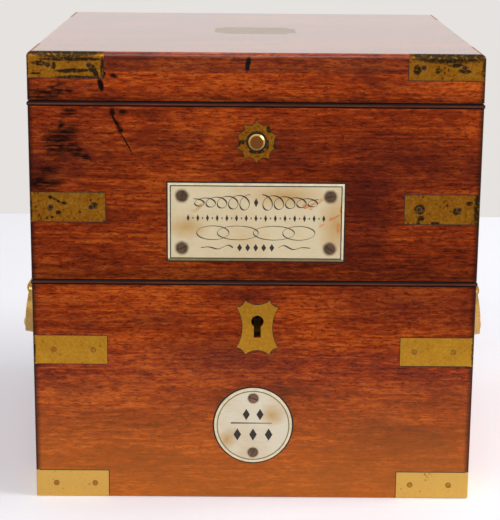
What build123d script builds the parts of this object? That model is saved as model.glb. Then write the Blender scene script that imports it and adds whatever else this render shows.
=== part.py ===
from build123d import *
import math
import os

# Three-tier brass-bound chronometer box. The origin is the middle of the underside, +Z is up,
# the front with the keyhole faces -Y, and every length is in millimetres.

# Carcass: plan, tier heights and board thicknesses
box_width = 184.0
box_depth = 184.0
base_height = 95.3
middle_height = 74.0
lid_height = 19.7
wall = 10.0
floor_thickness = 8.0
lid_panel = 8.0
seam = 0.3
corner_round = 1.0
lid_round = 2.0
seat_gap = 0.05
running_gap = 0.06
mitre_line = 0.1

# Ebony bead round the top edge of the base and of the middle tier
bead_height = 2.1
bead_depth = 3.0
bead_proud = 0.25
bead_bevel = 0.6

# Brass straps let in flush round the vertical corners
strap_thickness = 2.2
strap_length = 31.0
strap_foot_height = 11.6
strap_base_below = 36.6
strap_base_height = 12.5
strap_middle_rise = 24.2
strap_middle_height = 12.4
strap_lid_height = 10.6

# Name plate and number disc, both of bone and screwed on
plate_width = 72.0
plate_height = 32.3
plate_x = 0.4
plate_rise = 24.65
plate_thickness = 1.6
plate_proud = 0.7
plate_bevel = 0.6
plate_screw_inset_x = 5.7
plate_screw_inset_z = 5.25
plate_screw_turns = (20, 75, -35, 10)
disc_radius = 16.4
disc_z = 32.3
disc_screw_inset = 4.4
disc_screw_turns = (60, -20)
screw_radius = 2.1
screw_shank_radius = 1.1
screw_shank = 6.0
screw_slot_width = 0.55
screw_slot_depth = 0.5

# Keyhole escutcheon, measured from its own middle
escutcheon_x = 1.4
escutcheon_below = 20.2
escutcheon_thickness = 1.4
escutcheon_proud = 0.2
ear_x = 8.6
ear_z = 8.7
horn_x = 5.1
horn_z = 11.6
notch_x = 6.2
notch_z = 9.7
waist_x = 6.15
brow_z = 9.7
keyhole_rise = 2.6
keyhole_radius = 2.6
keyhole_slot_width = 2.9
keyhole_slot_drop = 4.3

# Lock let into the inner face of the base's front board
lock_width = 46.0
lock_height = 32.0
lock_depth = 6.8
lock_skin = 0.9
lock_selvedge = 1.8
staple_width = 5.0
staple_depth = 4.4
staple_leg = 1.0
staple_drop = 9.0
staple_bar = 2.0
staple_root = 2.2
staple_play = 0.4
link_plate_length = 30.0
link_plate_thickness = 1.5
bolt_length = 9.0
bolt_throw = 5.0
bolt_play = 0.3
bolt_tip_room = 1.4
drill_pin_radius = 0.8

# Push button catch in the middle tier's front board
button_x = 0.4
button_below = 16.0
button_radius = 3.35
button_proud = 2.0
button_bevel = 0.7
button_travel = 2.0
button_play = 0.25
star_points = 10
star_tip_radius = 8.85
star_valley_radius = 7.0
star_hole_gap = 0.85
star_thickness = 1.4
star_proud = 0.3
catch_width = 26.0
catch_height = 22.0
catch_skin = 1.0
catch_rear_gap = 0.2
catch_bar_width = 9.0
catch_bar = 1.2
catch_nose = 0.6
catch_nose_height = 1.6
catch_stem_radius = 2.0
catch_bar_below = 3.0
catch_bar_above = 12.5
striker_width = 8.0
striker_tab = 1.2
striker_lip = 0.5
striker_lip_height = 1.5
striker_drop = 9.0
striker_front_gap = 0.4
striker_plate_length = 20.0
striker_plate_width = 5.0
bite_gap = 0.3

# Butt hinges, two to each joint, with the barrel just outside the back
hinge_length = 38.0
hinge_offset = 55.0
hinge_knuckles = 3
hinge_radius = 2.6
hinge_clearance = 0.1
hinge_pin_radius = 1.2
hinge_leaf_width = 9.0
hinge_leaf_thickness = 1.5
hinge_side_gap = 0.2

# Glass of the middle tier and its beading
pane_thickness = 2.5
pane_margin = 1.0
pane_below = 20.3
beading_width = 4.0
beading_height = 4.0
beading_bevel = 1.2

# Plate let into the lid
cartouche_width = 36.5
cartouche_depth = 30.0
cartouche_thickness = 1.2
cartouche_corner = 4.6

# Drop handles on the two sides
handle_below = 17.3
handle_plate_length = 100.0
handle_plate_height = 20.0
handle_plate_thickness = 1.6
handle_plate_cant = 4.0
handle_lug_y = 36.0
handle_lug_width = 8.4
handle_lug_wall = 1.1
handle_pivot = 5.5
handle_rod_radius = 2.4
handle_bar_thickness = 4.0
handle_arm_gap = 1.9
handle_pin_tail = 1.8
handle_drop = 22.0
handle_elbow_drop = 8.0
handle_elbow_bend = 9.0
handle_grip_inset = 14.5
handle_grip_neck = 5.0
handle_grip_radius = 4.4
handle_grip_taper = 5.0
handle_slant = 10.0

# Gimbals
gimbal_below = 19.3
gimbal_room = 8.2
ring_gap = 11.0
ring_thickness = 3.0
ring_height = 9.0
ring_pad_width = 12.0
ring_pad_reach = 1.8
pivot_radius = 2.0
pivot_head_radius = 4.0
pivot_head = 2.5
pivot_gap = 0.3
bracket_width = 28.0
bracket_height = 26.0
bracket_thickness = 2.2
bracket_cant = 5.0
bracket_boss_radius = 6.0
stud_radius = 1.5
stud_reach = 4.0

# Bowl, bezel, glass and dial
bowl_wall = 5.5
bowl_above = 16.0
bowl_below = 40.0
bowl_foot_bevel = 5.0
bowl_well_depth = 8.0
bowl_boss_radius = 5.0
bowl_boss_gap = 2.5
bowl_pivot_depth = 10.0
winding_hole_radius = 5.0
winding_hole_depth = 6.0
bezel_overhang = 2.5
bezel_height = 4.0
bezel_lip = 4.5
bezel_bevel = 1.5
glass_lap = 1.5
glass_thickness = 1.7
dial_gap = 0.5
dial_thickness = 1.2
subdial_offset = 25.0

# Hands: lengths, widths, where the spade begins along the hand, and the time that they show
hand_thickness = 0.5
hand_step = 1.2
hand_lift = 0.8
hour_hand_length = 27.0
hour_hand_width = 1.8
hour_spade_start = 16.7
hour_turn = 304
minute_hand_length = 42.0
minute_hand_width = 1.3
minute_spade_start = 30.2
minute_turn = 48
seconds_hand_length = 14.0
seconds_turn = 205
wind_hand_length = 12.5
wind_turn = 60
small_hand_width = 0.7
small_spade_length = 2.7
centre_stem_radius = 1.0
small_stem_radius = 0.7
hour_boss_radius = 3.0
minute_boss_radius = 2.3
small_boss_radius = 1.5

# Gimbal lock arm on its bracket in the right front corner
arm_inset_x = 10.0
arm_inset_y = 15.0
arm_post_radius = 2.5
arm_hub_radius = 4.5
arm_hub_height = 5.0
arm_width = 4.4
arm_thickness = 3.0
arm_tip_length = 5.4
arm_tip_web = 1.4
arm_tip_height = 8.0
arm_tip_gap = 0.8
arm_slot = 3.7
arm_bracket_length = 20.0
arm_bracket_height = 18.0
arm_bracket_thickness = 2.0

# Winding key standing in its block in the left front corner
key_block_size = 24.0
key_block_height = 52.0
key_barrel_radius = 5.0
key_barrel_height = 34.0
key_barrel_below = 26.0
key_play = 0.15
key_square = 3.6
key_bow_width = 25.0
key_bow_height = 18.0
key_bow_thickness = 4.0
key_bow_band = 4.0
key_neck_radius = 2.2
key_neck_height = 3.0

# Room that a cutting shape reaches past the face it cuts
past = 1.0

# Levels and faces that follow from the sizes above
half_width = box_width / 2
half_depth = box_depth / 2
base_top = base_height - seam / 2
middle_bottom = base_height + seam / 2
lid_joint = base_height + middle_height
middle_top = lid_joint - seam / 2
lid_bottom = lid_joint + seam / 2
box_top = lid_joint + lid_height
rail_top = box_top - lid_panel
front = -half_depth
inner_front = front + wall
wall_x = half_width - wall
hinge_y = half_depth + bead_proud + hinge_clearance + hinge_radius
hinge_places = (-hinge_offset, hinge_offset)
strap_base_low = base_height - strap_base_below
strap_middle_low = base_height + strap_middle_rise
escutcheon_z = base_height - escutcheon_below
plate_z = base_height + plate_rise
button_z = lid_joint - button_below
pane_low = lid_joint - pane_below
handle_z = base_height - handle_below
gimbal_z = base_height - gimbal_below
arm_pivot_x = wall_x - arm_inset_x
arm_pivot_y = inner_front + arm_inset_y
hung = (Align.CENTER, Align.CENTER, Align.MAX)
sides = {
    "front": (box_width, half_depth, 0),
    "right": (box_depth, half_width, 90),
    "back": (box_width, half_depth, 180),
    "left": (box_depth, half_width, 270),
}


def save(piece, name):
    """Labels a finished piece and writes it."""
    piece.label = name
    export_step(piece, f"parts/{name}.step")


def front_plane(y, x=0.0, z=0.0):
    """A sketch plane parallel to the front, X to the right and Z up, facing out of the box."""
    return Plane(origin=(x, y, z), x_dir=(1, 0, 0), z_dir=(0, -1, 0))


def tier_block(low, high):
    """The tier's outer form, with its upright edges eased."""
    with BuildPart() as block:
        with BuildSketch(Plane.XY.offset(low)):
            RectangleRounded(box_width, box_depth, corner_round)
        extrude(amount=high - low)
    return block.part


def tier_shell(low, high):
    """Four walls of a tier in one, before the mitres part them."""
    with BuildPart() as shell:
        add(tier_block(low, high))
        with BuildSketch(Plane.XY.offset(low)):
            Rectangle(box_width - 2 * wall, box_depth - 2 * wall)
        extrude(amount=high - low, mode=Mode.SUBTRACT)
    return shell.part


def board(shell, side, low, high):
    """One wall board, cut from the shell along its two mitres."""
    length, distance, angle = sides[side]
    reach = wall + past
    with BuildPart() as piece:
        add(shell)
        with BuildSketch(Plane.XY.offset(low - past).rotated((0, 0, angle))):
            with BuildLine():
                Polyline(
                    (-length / 2 - past, -distance - past),
                    (length / 2 + past, -distance - past),
                    (length / 2 - reach, -distance + reach),
                    (-length / 2 + reach, -distance + reach),
                    close=True,
                )
            make_face()
        extrude(amount=high - low + 2 * past, mode=Mode.INTERSECT)
    return piece.part


def strap_set(block, low, high):
    """Four L-shaped corner straps, cut from the tier's own outer form."""
    with BuildPart() as straps:
        add(block)
        with BuildSketch(Plane.XY.offset(low)):
            Rectangle(box_width + 2 * past, box_depth + 2 * past)
            Rectangle(box_width - 2 * strap_thickness, box_depth - 2 * strap_thickness, mode=Mode.SUBTRACT)
            Rectangle(box_width - 2 * strap_length, box_depth + 2 * past, mode=Mode.SUBTRACT)
            Rectangle(box_width + 2 * past, box_depth - 2 * strap_length, mode=Mode.SUBTRACT)
        extrude(amount=high - low, mode=Mode.INTERSECT)
    return straps.part


def mitred_frame(outer_x, outer_y, width, low, height, bevel, upward):
    """A frame of four strips with hairline mitres, its outer edges or its upper inner edge bevelled."""
    with BuildPart() as frame:
        with BuildSketch(Plane.XY.offset(low)):
            Rectangle(outer_x, outer_y)
            Rectangle(outer_x - 2 * width, outer_y - 2 * width, mode=Mode.SUBTRACT)
        extrude(amount=height)
        flat = frame.edges().filter_by(Plane.XY).sort_by(lambda edge: abs(edge.center().X) + abs(edge.center().Y))
        if upward:
            chamfer(flat[: len(flat) // 2].group_by(Axis.Z)[-1], bevel)
        else:
            chamfer(flat[len(flat) // 2 :], bevel)
        for side_x in (-1, 1):
            for side_y in (-1, 1):
                corner = Plane(
                    origin=(side_x * outer_x / 2, side_y * outer_y / 2, low),
                    x_dir=(side_x, side_y, 0),
                    z_dir=(0, 0, 1),
                )
                with BuildSketch(corner):
                    Rectangle(4 * width, mitre_line)
                extrude(amount=height, mode=Mode.SUBTRACT)
    return frame.part


def bead_rebate(top):
    """The room that the bead takes out of a tier's top edge."""
    with BuildPart() as rebate:
        with BuildSketch(Plane.XY.offset(top - bead_height)):
            Rectangle(box_width + 2 * past, box_depth + 2 * past)
            Rectangle(box_width - 2 * bead_depth, box_depth - 2 * bead_depth, mode=Mode.SUBTRACT)
        extrude(amount=bead_height)
    return rebate.part


def leaf_pockets(low):
    """Mortises for two hinge leaves, with their lower faces at one level."""
    with BuildPart() as pockets:
        with BuildSketch(Plane.XY.offset(low)):
            with Locations(*[(x, half_depth + (past - hinge_leaf_width) / 2) for x in hinge_places]):
                Rectangle(hinge_length + 2 * hinge_side_gap, hinge_leaf_width + past)
        extrude(amount=hinge_leaf_thickness)
    return pockets.part


def hinge_leaves(joint_z, upper):
    """Two leaves of one joint: the plate in its mortise and every other knuckle round the pin."""
    low = joint_z + seam / 2 if upper else joint_z - seam / 2 - hinge_leaf_thickness
    pitch = hinge_length / hinge_knuckles
    own = range(1, hinge_knuckles, 2) if upper else range(0, hinge_knuckles, 2)
    bore = hinge_pin_radius + (running_gap if upper else 0)
    starts = [x - hinge_length / 2 + pitch * index + hinge_side_gap / 2 for x in hinge_places for index in own]
    knuckle = pitch - hinge_side_gap
    with BuildPart() as leaves:
        with BuildSketch(Plane.XY.offset(low)):
            with Locations(*[(x, half_depth - hinge_leaf_width / 2) for x in hinge_places]):
                Rectangle(hinge_length, hinge_leaf_width)
            with Locations(*[(start + knuckle / 2, (half_depth + hinge_y) / 2) for start in starts]):
                Rectangle(knuckle, hinge_y - half_depth)
        extrude(amount=hinge_leaf_thickness)
        for start in starts:
            with BuildSketch(Plane.YZ.offset(start)):
                with Locations((hinge_y, joint_z)):
                    Circle(hinge_radius)
            extrude(amount=knuckle)
        for start in starts:
            with BuildSketch(Plane.YZ.offset(start)):
                with Locations((hinge_y, joint_z)):
                    Circle(bore)
            extrude(amount=knuckle, mode=Mode.SUBTRACT)
    return leaves.part


def hinge_pins(joint_z):
    """The two pins of one joint."""
    with BuildPart() as pins:
        for x in hinge_places:
            with BuildSketch(Plane.YZ.offset(x - hinge_length / 2)):
                with Locations((hinge_y, joint_z)):
                    Circle(hinge_pin_radius)
            extrude(amount=hinge_length)
    return pins.part


def slotted_screws(places, face_y, turns):
    """Wood screws on the front, heads sunk level with their plate, each slot at its own angle."""
    with BuildPart() as screws:
        with Locations(front_plane(face_y)):
            with Locations(*places):
                Cylinder(screw_radius, plate_thickness, align=hung)
        with Locations(front_plane(face_y + plate_thickness)):
            with Locations(*places):
                Cylinder(screw_shank_radius, screw_shank, align=hung)
        for (x, z), turn in zip(places, turns):
            with BuildSketch(front_plane(face_y)):
                with Locations(Location((x, z), turn)):
                    Rectangle(2 * screw_radius + past, screw_slot_width)
            extrude(amount=-screw_slot_depth, mode=Mode.SUBTRACT)
    return screws.part


def screw_bores(places, face_y):
    """The room that such screws take out of their plate and board."""
    with BuildPart() as bores:
        with Locations(front_plane(face_y)):
            with Locations(*places):
                Cylinder(screw_radius + seat_gap, plate_thickness, align=hung)
        with Locations(front_plane(face_y + plate_thickness)):
            with Locations(*places):
                Cylinder(screw_shank_radius + seat_gap, screw_shank + seat_gap, align=hung)
    return bores.part


os.makedirs("parts", exist_ok=True)

# Blocks and shells of the three tiers
base_block = tier_block(0, base_top)
middle_block = tier_block(middle_bottom, middle_top)
with BuildPart() as lid_form:
    add(tier_block(lid_bottom, box_top))
    fillet(lid_form.faces().sort_by(Axis.Z)[-1].edges(), lid_round)
lid_block = lid_form.part

# Corner straps of brass
foot_straps = strap_set(base_block, 0, strap_foot_height)
base_straps = strap_set(base_block, strap_base_low, strap_base_low + strap_base_height)
middle_straps = strap_set(middle_block, strap_middle_low, strap_middle_low + strap_middle_height)
lid_straps = strap_set(lid_block, box_top - strap_lid_height, box_top)
with BuildPart() as base_strap_group:
    add(foot_straps)
    add(base_straps)
save(base_strap_group.part, "base_corner_straps")
save(middle_straps, "middle_corner_straps")
save(lid_straps, "lid_corner_straps")

# Hinges of the two joints
base_leaves = hinge_leaves(base_height, False)
middle_leaves = hinge_leaves(base_height, True)
middle_lid_leaves = hinge_leaves(lid_joint, False)
lid_leaves = hinge_leaves(lid_joint, True)
save(base_leaves, "base_hinge_leaves")
save(middle_leaves, "middle_hinge_leaves")
save(middle_lid_leaves, "middle_lid_hinge_leaves")
save(lid_leaves, "lid_hinge_leaves")
save(hinge_pins(base_height), "base_hinge_pins")
save(hinge_pins(lid_joint), "lid_hinge_pins")

# Ebony beads
for bead_name, bead_top in (("base_bead", base_top), ("middle_bead", middle_top)):
    with BuildPart() as bead:
        add(
            mitred_frame(
                box_width + 2 * bead_proud,
                box_depth + 2 * bead_proud,
                bead_depth + bead_proud,
                bead_top - bead_height,
                bead_height,
                bead_bevel,
                False,
            )
        )
        add(leaf_pockets(bead_top - hinge_leaf_thickness), mode=Mode.SUBTRACT)
    save(bead.part, bead_name)

# Name plate with its bevel and its four screws
plate_face = front - plate_proud
plate_plane = front_plane(plate_face, plate_x, plate_z)
plate_screw_x = plate_width / 2 - plate_screw_inset_x
plate_screw_z = plate_height / 2 - plate_screw_inset_z
plate_screws = [
    (plate_x + side * plate_screw_x, plate_z + level * plate_screw_z) for side in (-1, 1) for level in (-1, 1)
]
with BuildPart() as name_plate:
    with BuildSketch(plate_plane):
        Rectangle(plate_width, plate_height)
    extrude(amount=-plate_thickness)
    chamfer(name_plate.faces().sort_by(Axis.Y)[0].edges(), plate_bevel)
    add(screw_bores(plate_screws, plate_face), mode=Mode.SUBTRACT)
save(name_plate.part, "name_plate")
save(slotted_screws(plate_screws, plate_face, plate_screw_turns), "name_plate_screws")

# Number disc with the same bevel, and two screws
disc_face = front - plate_proud
disc_plane = front_plane(disc_face, 0, disc_z)
disc_screw_z = disc_radius - disc_screw_inset
disc_screws = [(0, disc_z - disc_screw_z), (0, disc_z + disc_screw_z)]
with BuildPart() as number_disc:
    with BuildSketch(disc_plane):
        Circle(disc_radius)
    extrude(amount=-plate_thickness)
    chamfer(number_disc.faces().sort_by(Axis.Y)[0].edges(), plate_bevel)
    add(screw_bores(disc_screws, disc_face), mode=Mode.SUBTRACT)
save(number_disc.part, "number_disc")
save(slotted_screws(disc_screws, disc_face, disc_screw_turns), "number_disc_screws")

# Keyhole escutcheon: four hollow sides and horned corners round the keyhole
escutcheon_face = front - escutcheon_proud
escutcheon_plane = front_plane(escutcheon_face, escutcheon_x, escutcheon_z)


def keyhole_cut(face_y, depth):
    """The keyhole: a round for the key's pipe over a slot for its bit."""
    with BuildPart() as hole:
        with BuildSketch(front_plane(face_y, escutcheon_x, escutcheon_z)):
            with Locations((0, keyhole_rise)):
                Circle(keyhole_radius)
            with Locations((0, (keyhole_rise - keyhole_slot_drop) / 2)):
                Rectangle(keyhole_slot_width, keyhole_rise + keyhole_slot_drop)
        extrude(amount=-depth)
    return hole.part


with BuildSketch() as escutcheon_outline:
    with BuildLine():
        ThreePointArc((0, brow_z), (horn_x / 2, brow_z + (horn_z - brow_z) / 4), (horn_x, horn_z))
        ThreePointArc((horn_x, horn_z), (notch_x, notch_z), (ear_x, ear_z))
        ThreePointArc((ear_x, ear_z), (waist_x + (ear_x - waist_x) / 4, ear_z / 2), (waist_x, 0))
        mirror(about=Plane.XZ)
        mirror(about=Plane.YZ)
    make_face()
with BuildPart() as escutcheon_blank:
    with BuildSketch(escutcheon_plane):
        add(escutcheon_outline.sketch)
    extrude(amount=-escutcheon_thickness)
with BuildPart() as escutcheon:
    add(escutcheon_blank.part)
    add(keyhole_cut(escutcheon_face - past, escutcheon_thickness + 2 * past), mode=Mode.SUBTRACT)
save(escutcheon.part, "keyhole_escutcheon")

# Star round the push button: points joined by hollow arcs
star_face = front - star_proud
star_plane = front_plane(star_face, button_x, button_z)
star_step = 360 / star_points


def star_point(radius, angle):
    """A point of the star's outline, the angle counted from the top."""
    return (radius * math.sin(math.radians(angle)), radius * math.cos(math.radians(angle)))


with BuildPart() as star_blank:
    with BuildSketch(star_plane):
        with BuildLine():
            for point in range(star_points):
                ThreePointArc(
                    star_point(star_tip_radius, point * star_step),
                    star_point(star_valley_radius, (point + 0.5) * star_step),
                    star_point(star_tip_radius, (point + 1) * star_step),
                )
        make_face()
    extrude(amount=-star_thickness)
with BuildPart() as star:
    add(star_blank.part)
    with BuildSketch(star_plane):
        Circle(button_radius + star_hole_gap)
    extrude(amount=-star_thickness, mode=Mode.SUBTRACT)
save(star.part, "star_escutcheon")

# Lock: a case with a selvedge, a slot for the staple and a sliding bolt
lock_x = escutcheon_x
lock_front = inner_front - lock_depth
cavity_front = lock_front + lock_skin
cavity_depth = staple_depth + 2 * staple_play
bolt_height = staple_drop - staple_root - staple_bar - 2 * bolt_play
bolt_low = middle_bottom - staple_drop + staple_bar + bolt_play
bolt_width = staple_depth - 2 * staple_leg - 2 * bolt_play
staple_middle_y = cavity_front + cavity_depth / 2
bolt_start = lock_x + staple_width / 2 + staple_play + bolt_play
cavity_end = bolt_start + bolt_length + bolt_play
cavity_left = bolt_start - bolt_throw - bolt_tip_room
with BuildPart() as lock_case:
    with BuildSketch(Plane.XY.offset(base_top - lock_height)):
        with Locations((lock_x, lock_front + lock_depth / 2)):
            Rectangle(lock_width, lock_depth)
    extrude(amount=lock_height)
    with BuildSketch(Plane.XY.offset(bolt_low - bolt_play)):
        with Locations(((cavity_left + cavity_end) / 2, staple_middle_y)):
            Rectangle(cavity_end - cavity_left, cavity_depth)
    extrude(amount=base_top - lock_selvedge - bolt_low + bolt_play, mode=Mode.SUBTRACT)
    with BuildSketch(Plane.XY.offset(bolt_low - staple_bar - 2 * bolt_play)):
        with Locations((lock_x, staple_middle_y)):
            Rectangle(staple_width + 2 * staple_play, cavity_depth)
    extrude(amount=base_top - bolt_low + staple_bar + 2 * bolt_play, mode=Mode.SUBTRACT)
    add(keyhole_cut(lock_front, lock_depth - lock_skin), mode=Mode.SUBTRACT)
    with BuildSketch(front_plane(lock_front, escutcheon_x, escutcheon_z + keyhole_rise)):
        Circle(drill_pin_radius)
    extrude(amount=-(lock_depth - lock_skin))
save(lock_case.part, "lock_case")

with BuildPart() as lock_bolt:
    with BuildSketch(Plane.XY.offset(bolt_low)):
        with Locations((bolt_start + bolt_length / 2, staple_middle_y)):
            Rectangle(bolt_length, bolt_width)
    extrude(amount=bolt_height)
    chamfer(lock_bolt.faces().sort_by(Axis.X)[0].edges().filter_by(Axis.Y), bolt_play)
save(lock_bolt.part, "lock_bolt")

with BuildPart() as link_plate:
    with BuildSketch(Plane.XY.offset(middle_bottom)):
        with Locations((lock_x, staple_middle_y)):
            SlotOverall(link_plate_length, staple_depth)
    extrude(amount=link_plate_thickness)
    with BuildSketch(Plane.XY.offset(middle_bottom)):
        with Locations((lock_x, staple_middle_y)):
            Rectangle(staple_width, staple_depth)
    extrude(amount=-staple_drop)
    with BuildSketch(Plane.XY.offset(middle_bottom - staple_drop + staple_bar)):
        with Locations((lock_x, staple_middle_y)):
            Rectangle(staple_width, staple_depth - 2 * staple_leg)
    extrude(amount=staple_drop - staple_bar - staple_root, mode=Mode.SUBTRACT)
save(link_plate.part, "link_plate")

# Catch: push button, its bar and nose, the case in the middle tier and the striker under the lid
catch_front = front + bead_depth + striker_front_gap
tab_front = catch_front + striker_front_gap
tab_back = tab_front + striker_tab
lip_back = tab_back + striker_lip
nose_front = lip_back + bite_gap
bar_front = nose_front + catch_nose
catch_back = bar_front + catch_bar + button_travel + catch_rear_gap + catch_skin
lip_low = lid_bottom - striker_drop
nose_low = lip_low + striker_lip_height + bite_gap
case_low = middle_top - catch_height
with BuildPart() as catch_room:
    with BuildSketch(Plane.XY.offset(case_low)):
        with Locations((button_x, (catch_front + catch_back) / 2)):
            Rectangle(catch_width, catch_back - catch_front)
    extrude(amount=catch_height)
with BuildPart() as catch_case:
    add(catch_room.part)
    with BuildSketch(Plane.XY.offset(case_low + catch_skin)):
        with Locations((button_x, (catch_front + catch_back - catch_skin) / 2)):
            Rectangle(catch_width - 2 * catch_skin, catch_back - catch_front - catch_skin)
    extrude(amount=catch_height - catch_skin, mode=Mode.SUBTRACT)
save(catch_case.part, "catch_case")

with BuildPart() as push_button:
    with BuildSketch(front_plane(front - star_proud - button_proud, button_x, button_z)):
        Circle(button_radius)
    extrude(amount=-(catch_front - front + star_proud + button_proud))
    chamfer(push_button.faces().sort_by(Axis.Y)[0].edges(), button_bevel)
    with BuildSketch(front_plane(catch_front, button_x, button_z)):
        Circle(catch_stem_radius)
    extrude(amount=catch_front - bar_front)
    with BuildSketch(Plane.XY.offset(button_z - catch_bar_below)):
        with Locations((button_x, bar_front + catch_bar / 2)):
            Rectangle(catch_bar_width, catch_bar)
    extrude(amount=catch_bar_below + catch_bar_above)
    with BuildSketch(Plane.XY.offset(nose_low)):
        with Locations((button_x, bar_front - catch_nose / 2)):
            Rectangle(catch_bar_width, catch_nose)
    extrude(amount=catch_nose_height)
    chamfer(push_button.faces().sort_by(Axis.Z)[-1].edges().filter_by(Axis.X), bite_gap)
save(push_button.part, "push_button")

with BuildPart() as lid_striker:
    with BuildSketch(Plane.XY.offset(lid_bottom)):
        with Locations((button_x, tab_front + striker_plate_width / 2)):
            SlotOverall(striker_plate_length, striker_plate_width)
    extrude(amount=link_plate_thickness)
    with BuildSketch(Plane.XY.offset(lip_low)):
        with Locations((button_x, (tab_front + tab_back) / 2)):
            Rectangle(striker_width, striker_tab)
    extrude(amount=striker_drop)
    with BuildSketch(Plane.XY.offset(lip_low)):
        with Locations((button_x, tab_back + striker_lip / 2)):
            Rectangle(striker_width, striker_lip)
    extrude(amount=striker_lip_height)
save(lid_striker.part, "lid_striker")

# Boards of the base, with the room that brass, bead and bone take out of them
with BuildPart() as base_shell:
    add(tier_shell(0, base_top))
    add(foot_straps, mode=Mode.SUBTRACT)
    add(base_straps, mode=Mode.SUBTRACT)
    add(bead_rebate(base_top), mode=Mode.SUBTRACT)
    add(leaf_pockets(base_top - hinge_leaf_thickness), mode=Mode.SUBTRACT)
    with BuildSketch(disc_plane):
        Circle(disc_radius + seat_gap)
    extrude(amount=-plate_thickness, mode=Mode.SUBTRACT)
    add(screw_bores(disc_screws, disc_face), mode=Mode.SUBTRACT)
    add(escutcheon_blank.part, mode=Mode.SUBTRACT)
    add(keyhole_cut(front - past, lock_front - front + past), mode=Mode.SUBTRACT)
    with BuildSketch(Plane.XY.offset(base_top - lock_height)):
        with Locations((lock_x, lock_front + lock_depth / 2)):
            Rectangle(lock_width, lock_depth)
    extrude(amount=lock_height, mode=Mode.SUBTRACT)
for side in sides:
    save(board(base_shell.part, side, 0, base_top), f"base_{side}_board")
with BuildPart() as base_floor:
    with BuildSketch():
        Rectangle(box_width - 2 * wall, box_depth - 2 * wall)
    extrude(amount=floor_thickness)
save(base_floor.part, "base_floor")

# Boards of the middle tier
with BuildPart() as middle_shell:
    add(tier_shell(middle_bottom, middle_top))
    add(middle_straps, mode=Mode.SUBTRACT)
    add(bead_rebate(middle_top), mode=Mode.SUBTRACT)
    add(leaf_pockets(middle_bottom), mode=Mode.SUBTRACT)
    add(leaf_pockets(middle_top - hinge_leaf_thickness), mode=Mode.SUBTRACT)
    with BuildSketch(plate_plane):
        Rectangle(plate_width + 2 * seat_gap, plate_height + 2 * seat_gap)
    extrude(amount=-plate_thickness, mode=Mode.SUBTRACT)
    add(screw_bores(plate_screws, plate_face), mode=Mode.SUBTRACT)
    add(star_blank.part, mode=Mode.SUBTRACT)
    with BuildSketch(front_plane(front, button_x, button_z)):
        Circle(button_radius + button_play)
    extrude(amount=front - catch_front, mode=Mode.SUBTRACT)
    add(catch_room.part, mode=Mode.SUBTRACT)
    with BuildSketch(Plane.XY.offset(middle_bottom)):
        with Locations((lock_x, staple_middle_y)):
            SlotOverall(link_plate_length, staple_depth)
    extrude(amount=link_plate_thickness, mode=Mode.SUBTRACT)
for side in sides:
    save(board(middle_shell.part, side, middle_bottom, middle_top), f"middle_{side}_board")

# Glass of the middle tier, held between two frames of beading
opening_x = box_width - 2 * wall
opening_y = box_depth - 2 * wall
pane_top = pane_low + pane_thickness
with BuildPart() as glass_pane:
    with BuildSketch(Plane.XY.offset(pane_low)):
        Rectangle(opening_x - 2 * pane_margin, opening_y - 2 * pane_margin)
    extrude(amount=pane_thickness)
save(glass_pane.part, "glass_pane")
with BuildPart() as glass_beading:
    for strip_low in (pane_low - beading_height, pane_top):
        add(mitred_frame(opening_x, opening_y, beading_width, strip_low, beading_height, beading_bevel, True))
    add(catch_room.part, mode=Mode.SUBTRACT)
save(glass_beading.part, "glass_beading")

# Lid: panel over four rails, its plate and the room for brass
with BuildPart() as cartouche:
    with BuildSketch(Plane.XY.offset(box_top)) as cartouche_outline:
        Rectangle(cartouche_width, cartouche_depth)
        with GridLocations(cartouche_width, cartouche_depth, 2, 2):
            Circle(cartouche_corner, mode=Mode.SUBTRACT)
    extrude(amount=-cartouche_thickness)
save(cartouche.part, "lid_cartouche")
with BuildPart() as lid_panel_board:
    add(lid_block)
    with BuildSketch(Plane.XY.offset(lid_bottom)):
        Rectangle(box_width + 2 * past, box_depth + 2 * past)
    extrude(amount=rail_top - lid_bottom, mode=Mode.SUBTRACT)
    add(lid_straps, mode=Mode.SUBTRACT)
    add(cartouche.part, mode=Mode.SUBTRACT)
save(lid_panel_board.part, "lid_panel")
with BuildPart() as lid_shell:
    add(tier_shell(lid_bottom, rail_top))
    add(lid_straps, mode=Mode.SUBTRACT)
    add(leaf_pockets(lid_bottom), mode=Mode.SUBTRACT)
    with BuildSketch(Plane.XY.offset(lid_bottom)):
        with Locations((button_x, tab_front + striker_plate_width / 2)):
            SlotOverall(striker_plate_length, striker_plate_width)
    extrude(amount=link_plate_thickness, mode=Mode.SUBTRACT)
for side in sides:
    save(board(lid_shell.part, side, lid_bottom, rail_top), f"lid_{side}_rail")

# Drop handles: a plate with two lugs, and a bail that hangs in them
pivot_x = half_width + handle_pivot
lug_radius = handle_rod_radius + running_gap + handle_lug_wall
arm_y = handle_lug_y + handle_lug_width / 2 + handle_arm_gap + handle_rod_radius
pin_end = handle_lug_y - handle_lug_width / 2 - handle_pin_tail
grip_y = arm_y - handle_grip_inset
grip_half = grip_y - handle_grip_neck


def handle_plate():
    """The right side's plate, with canted corners and two bored lugs."""
    with BuildPart() as plate:
        with BuildSketch(Plane.YZ.offset(half_width)) as outline:
            with Locations((0, handle_z)):
                Rectangle(handle_plate_length, handle_plate_height)
            chamfer(outline.vertices(), handle_plate_cant)
        extrude(amount=handle_plate_thickness)
        for lug_y in (-handle_lug_y, handle_lug_y):
            with BuildSketch(Plane.XZ.offset(-lug_y)):
                with Locations((half_width + handle_pivot / 2, handle_z)):
                    Rectangle(handle_pivot, 2 * lug_radius)
                with Locations((pivot_x, handle_z)):
                    Circle(lug_radius)
                    Circle(handle_rod_radius + running_gap, mode=Mode.SUBTRACT)
            extrude(amount=handle_lug_width / 2, both=True)
    return plate.part


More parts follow.
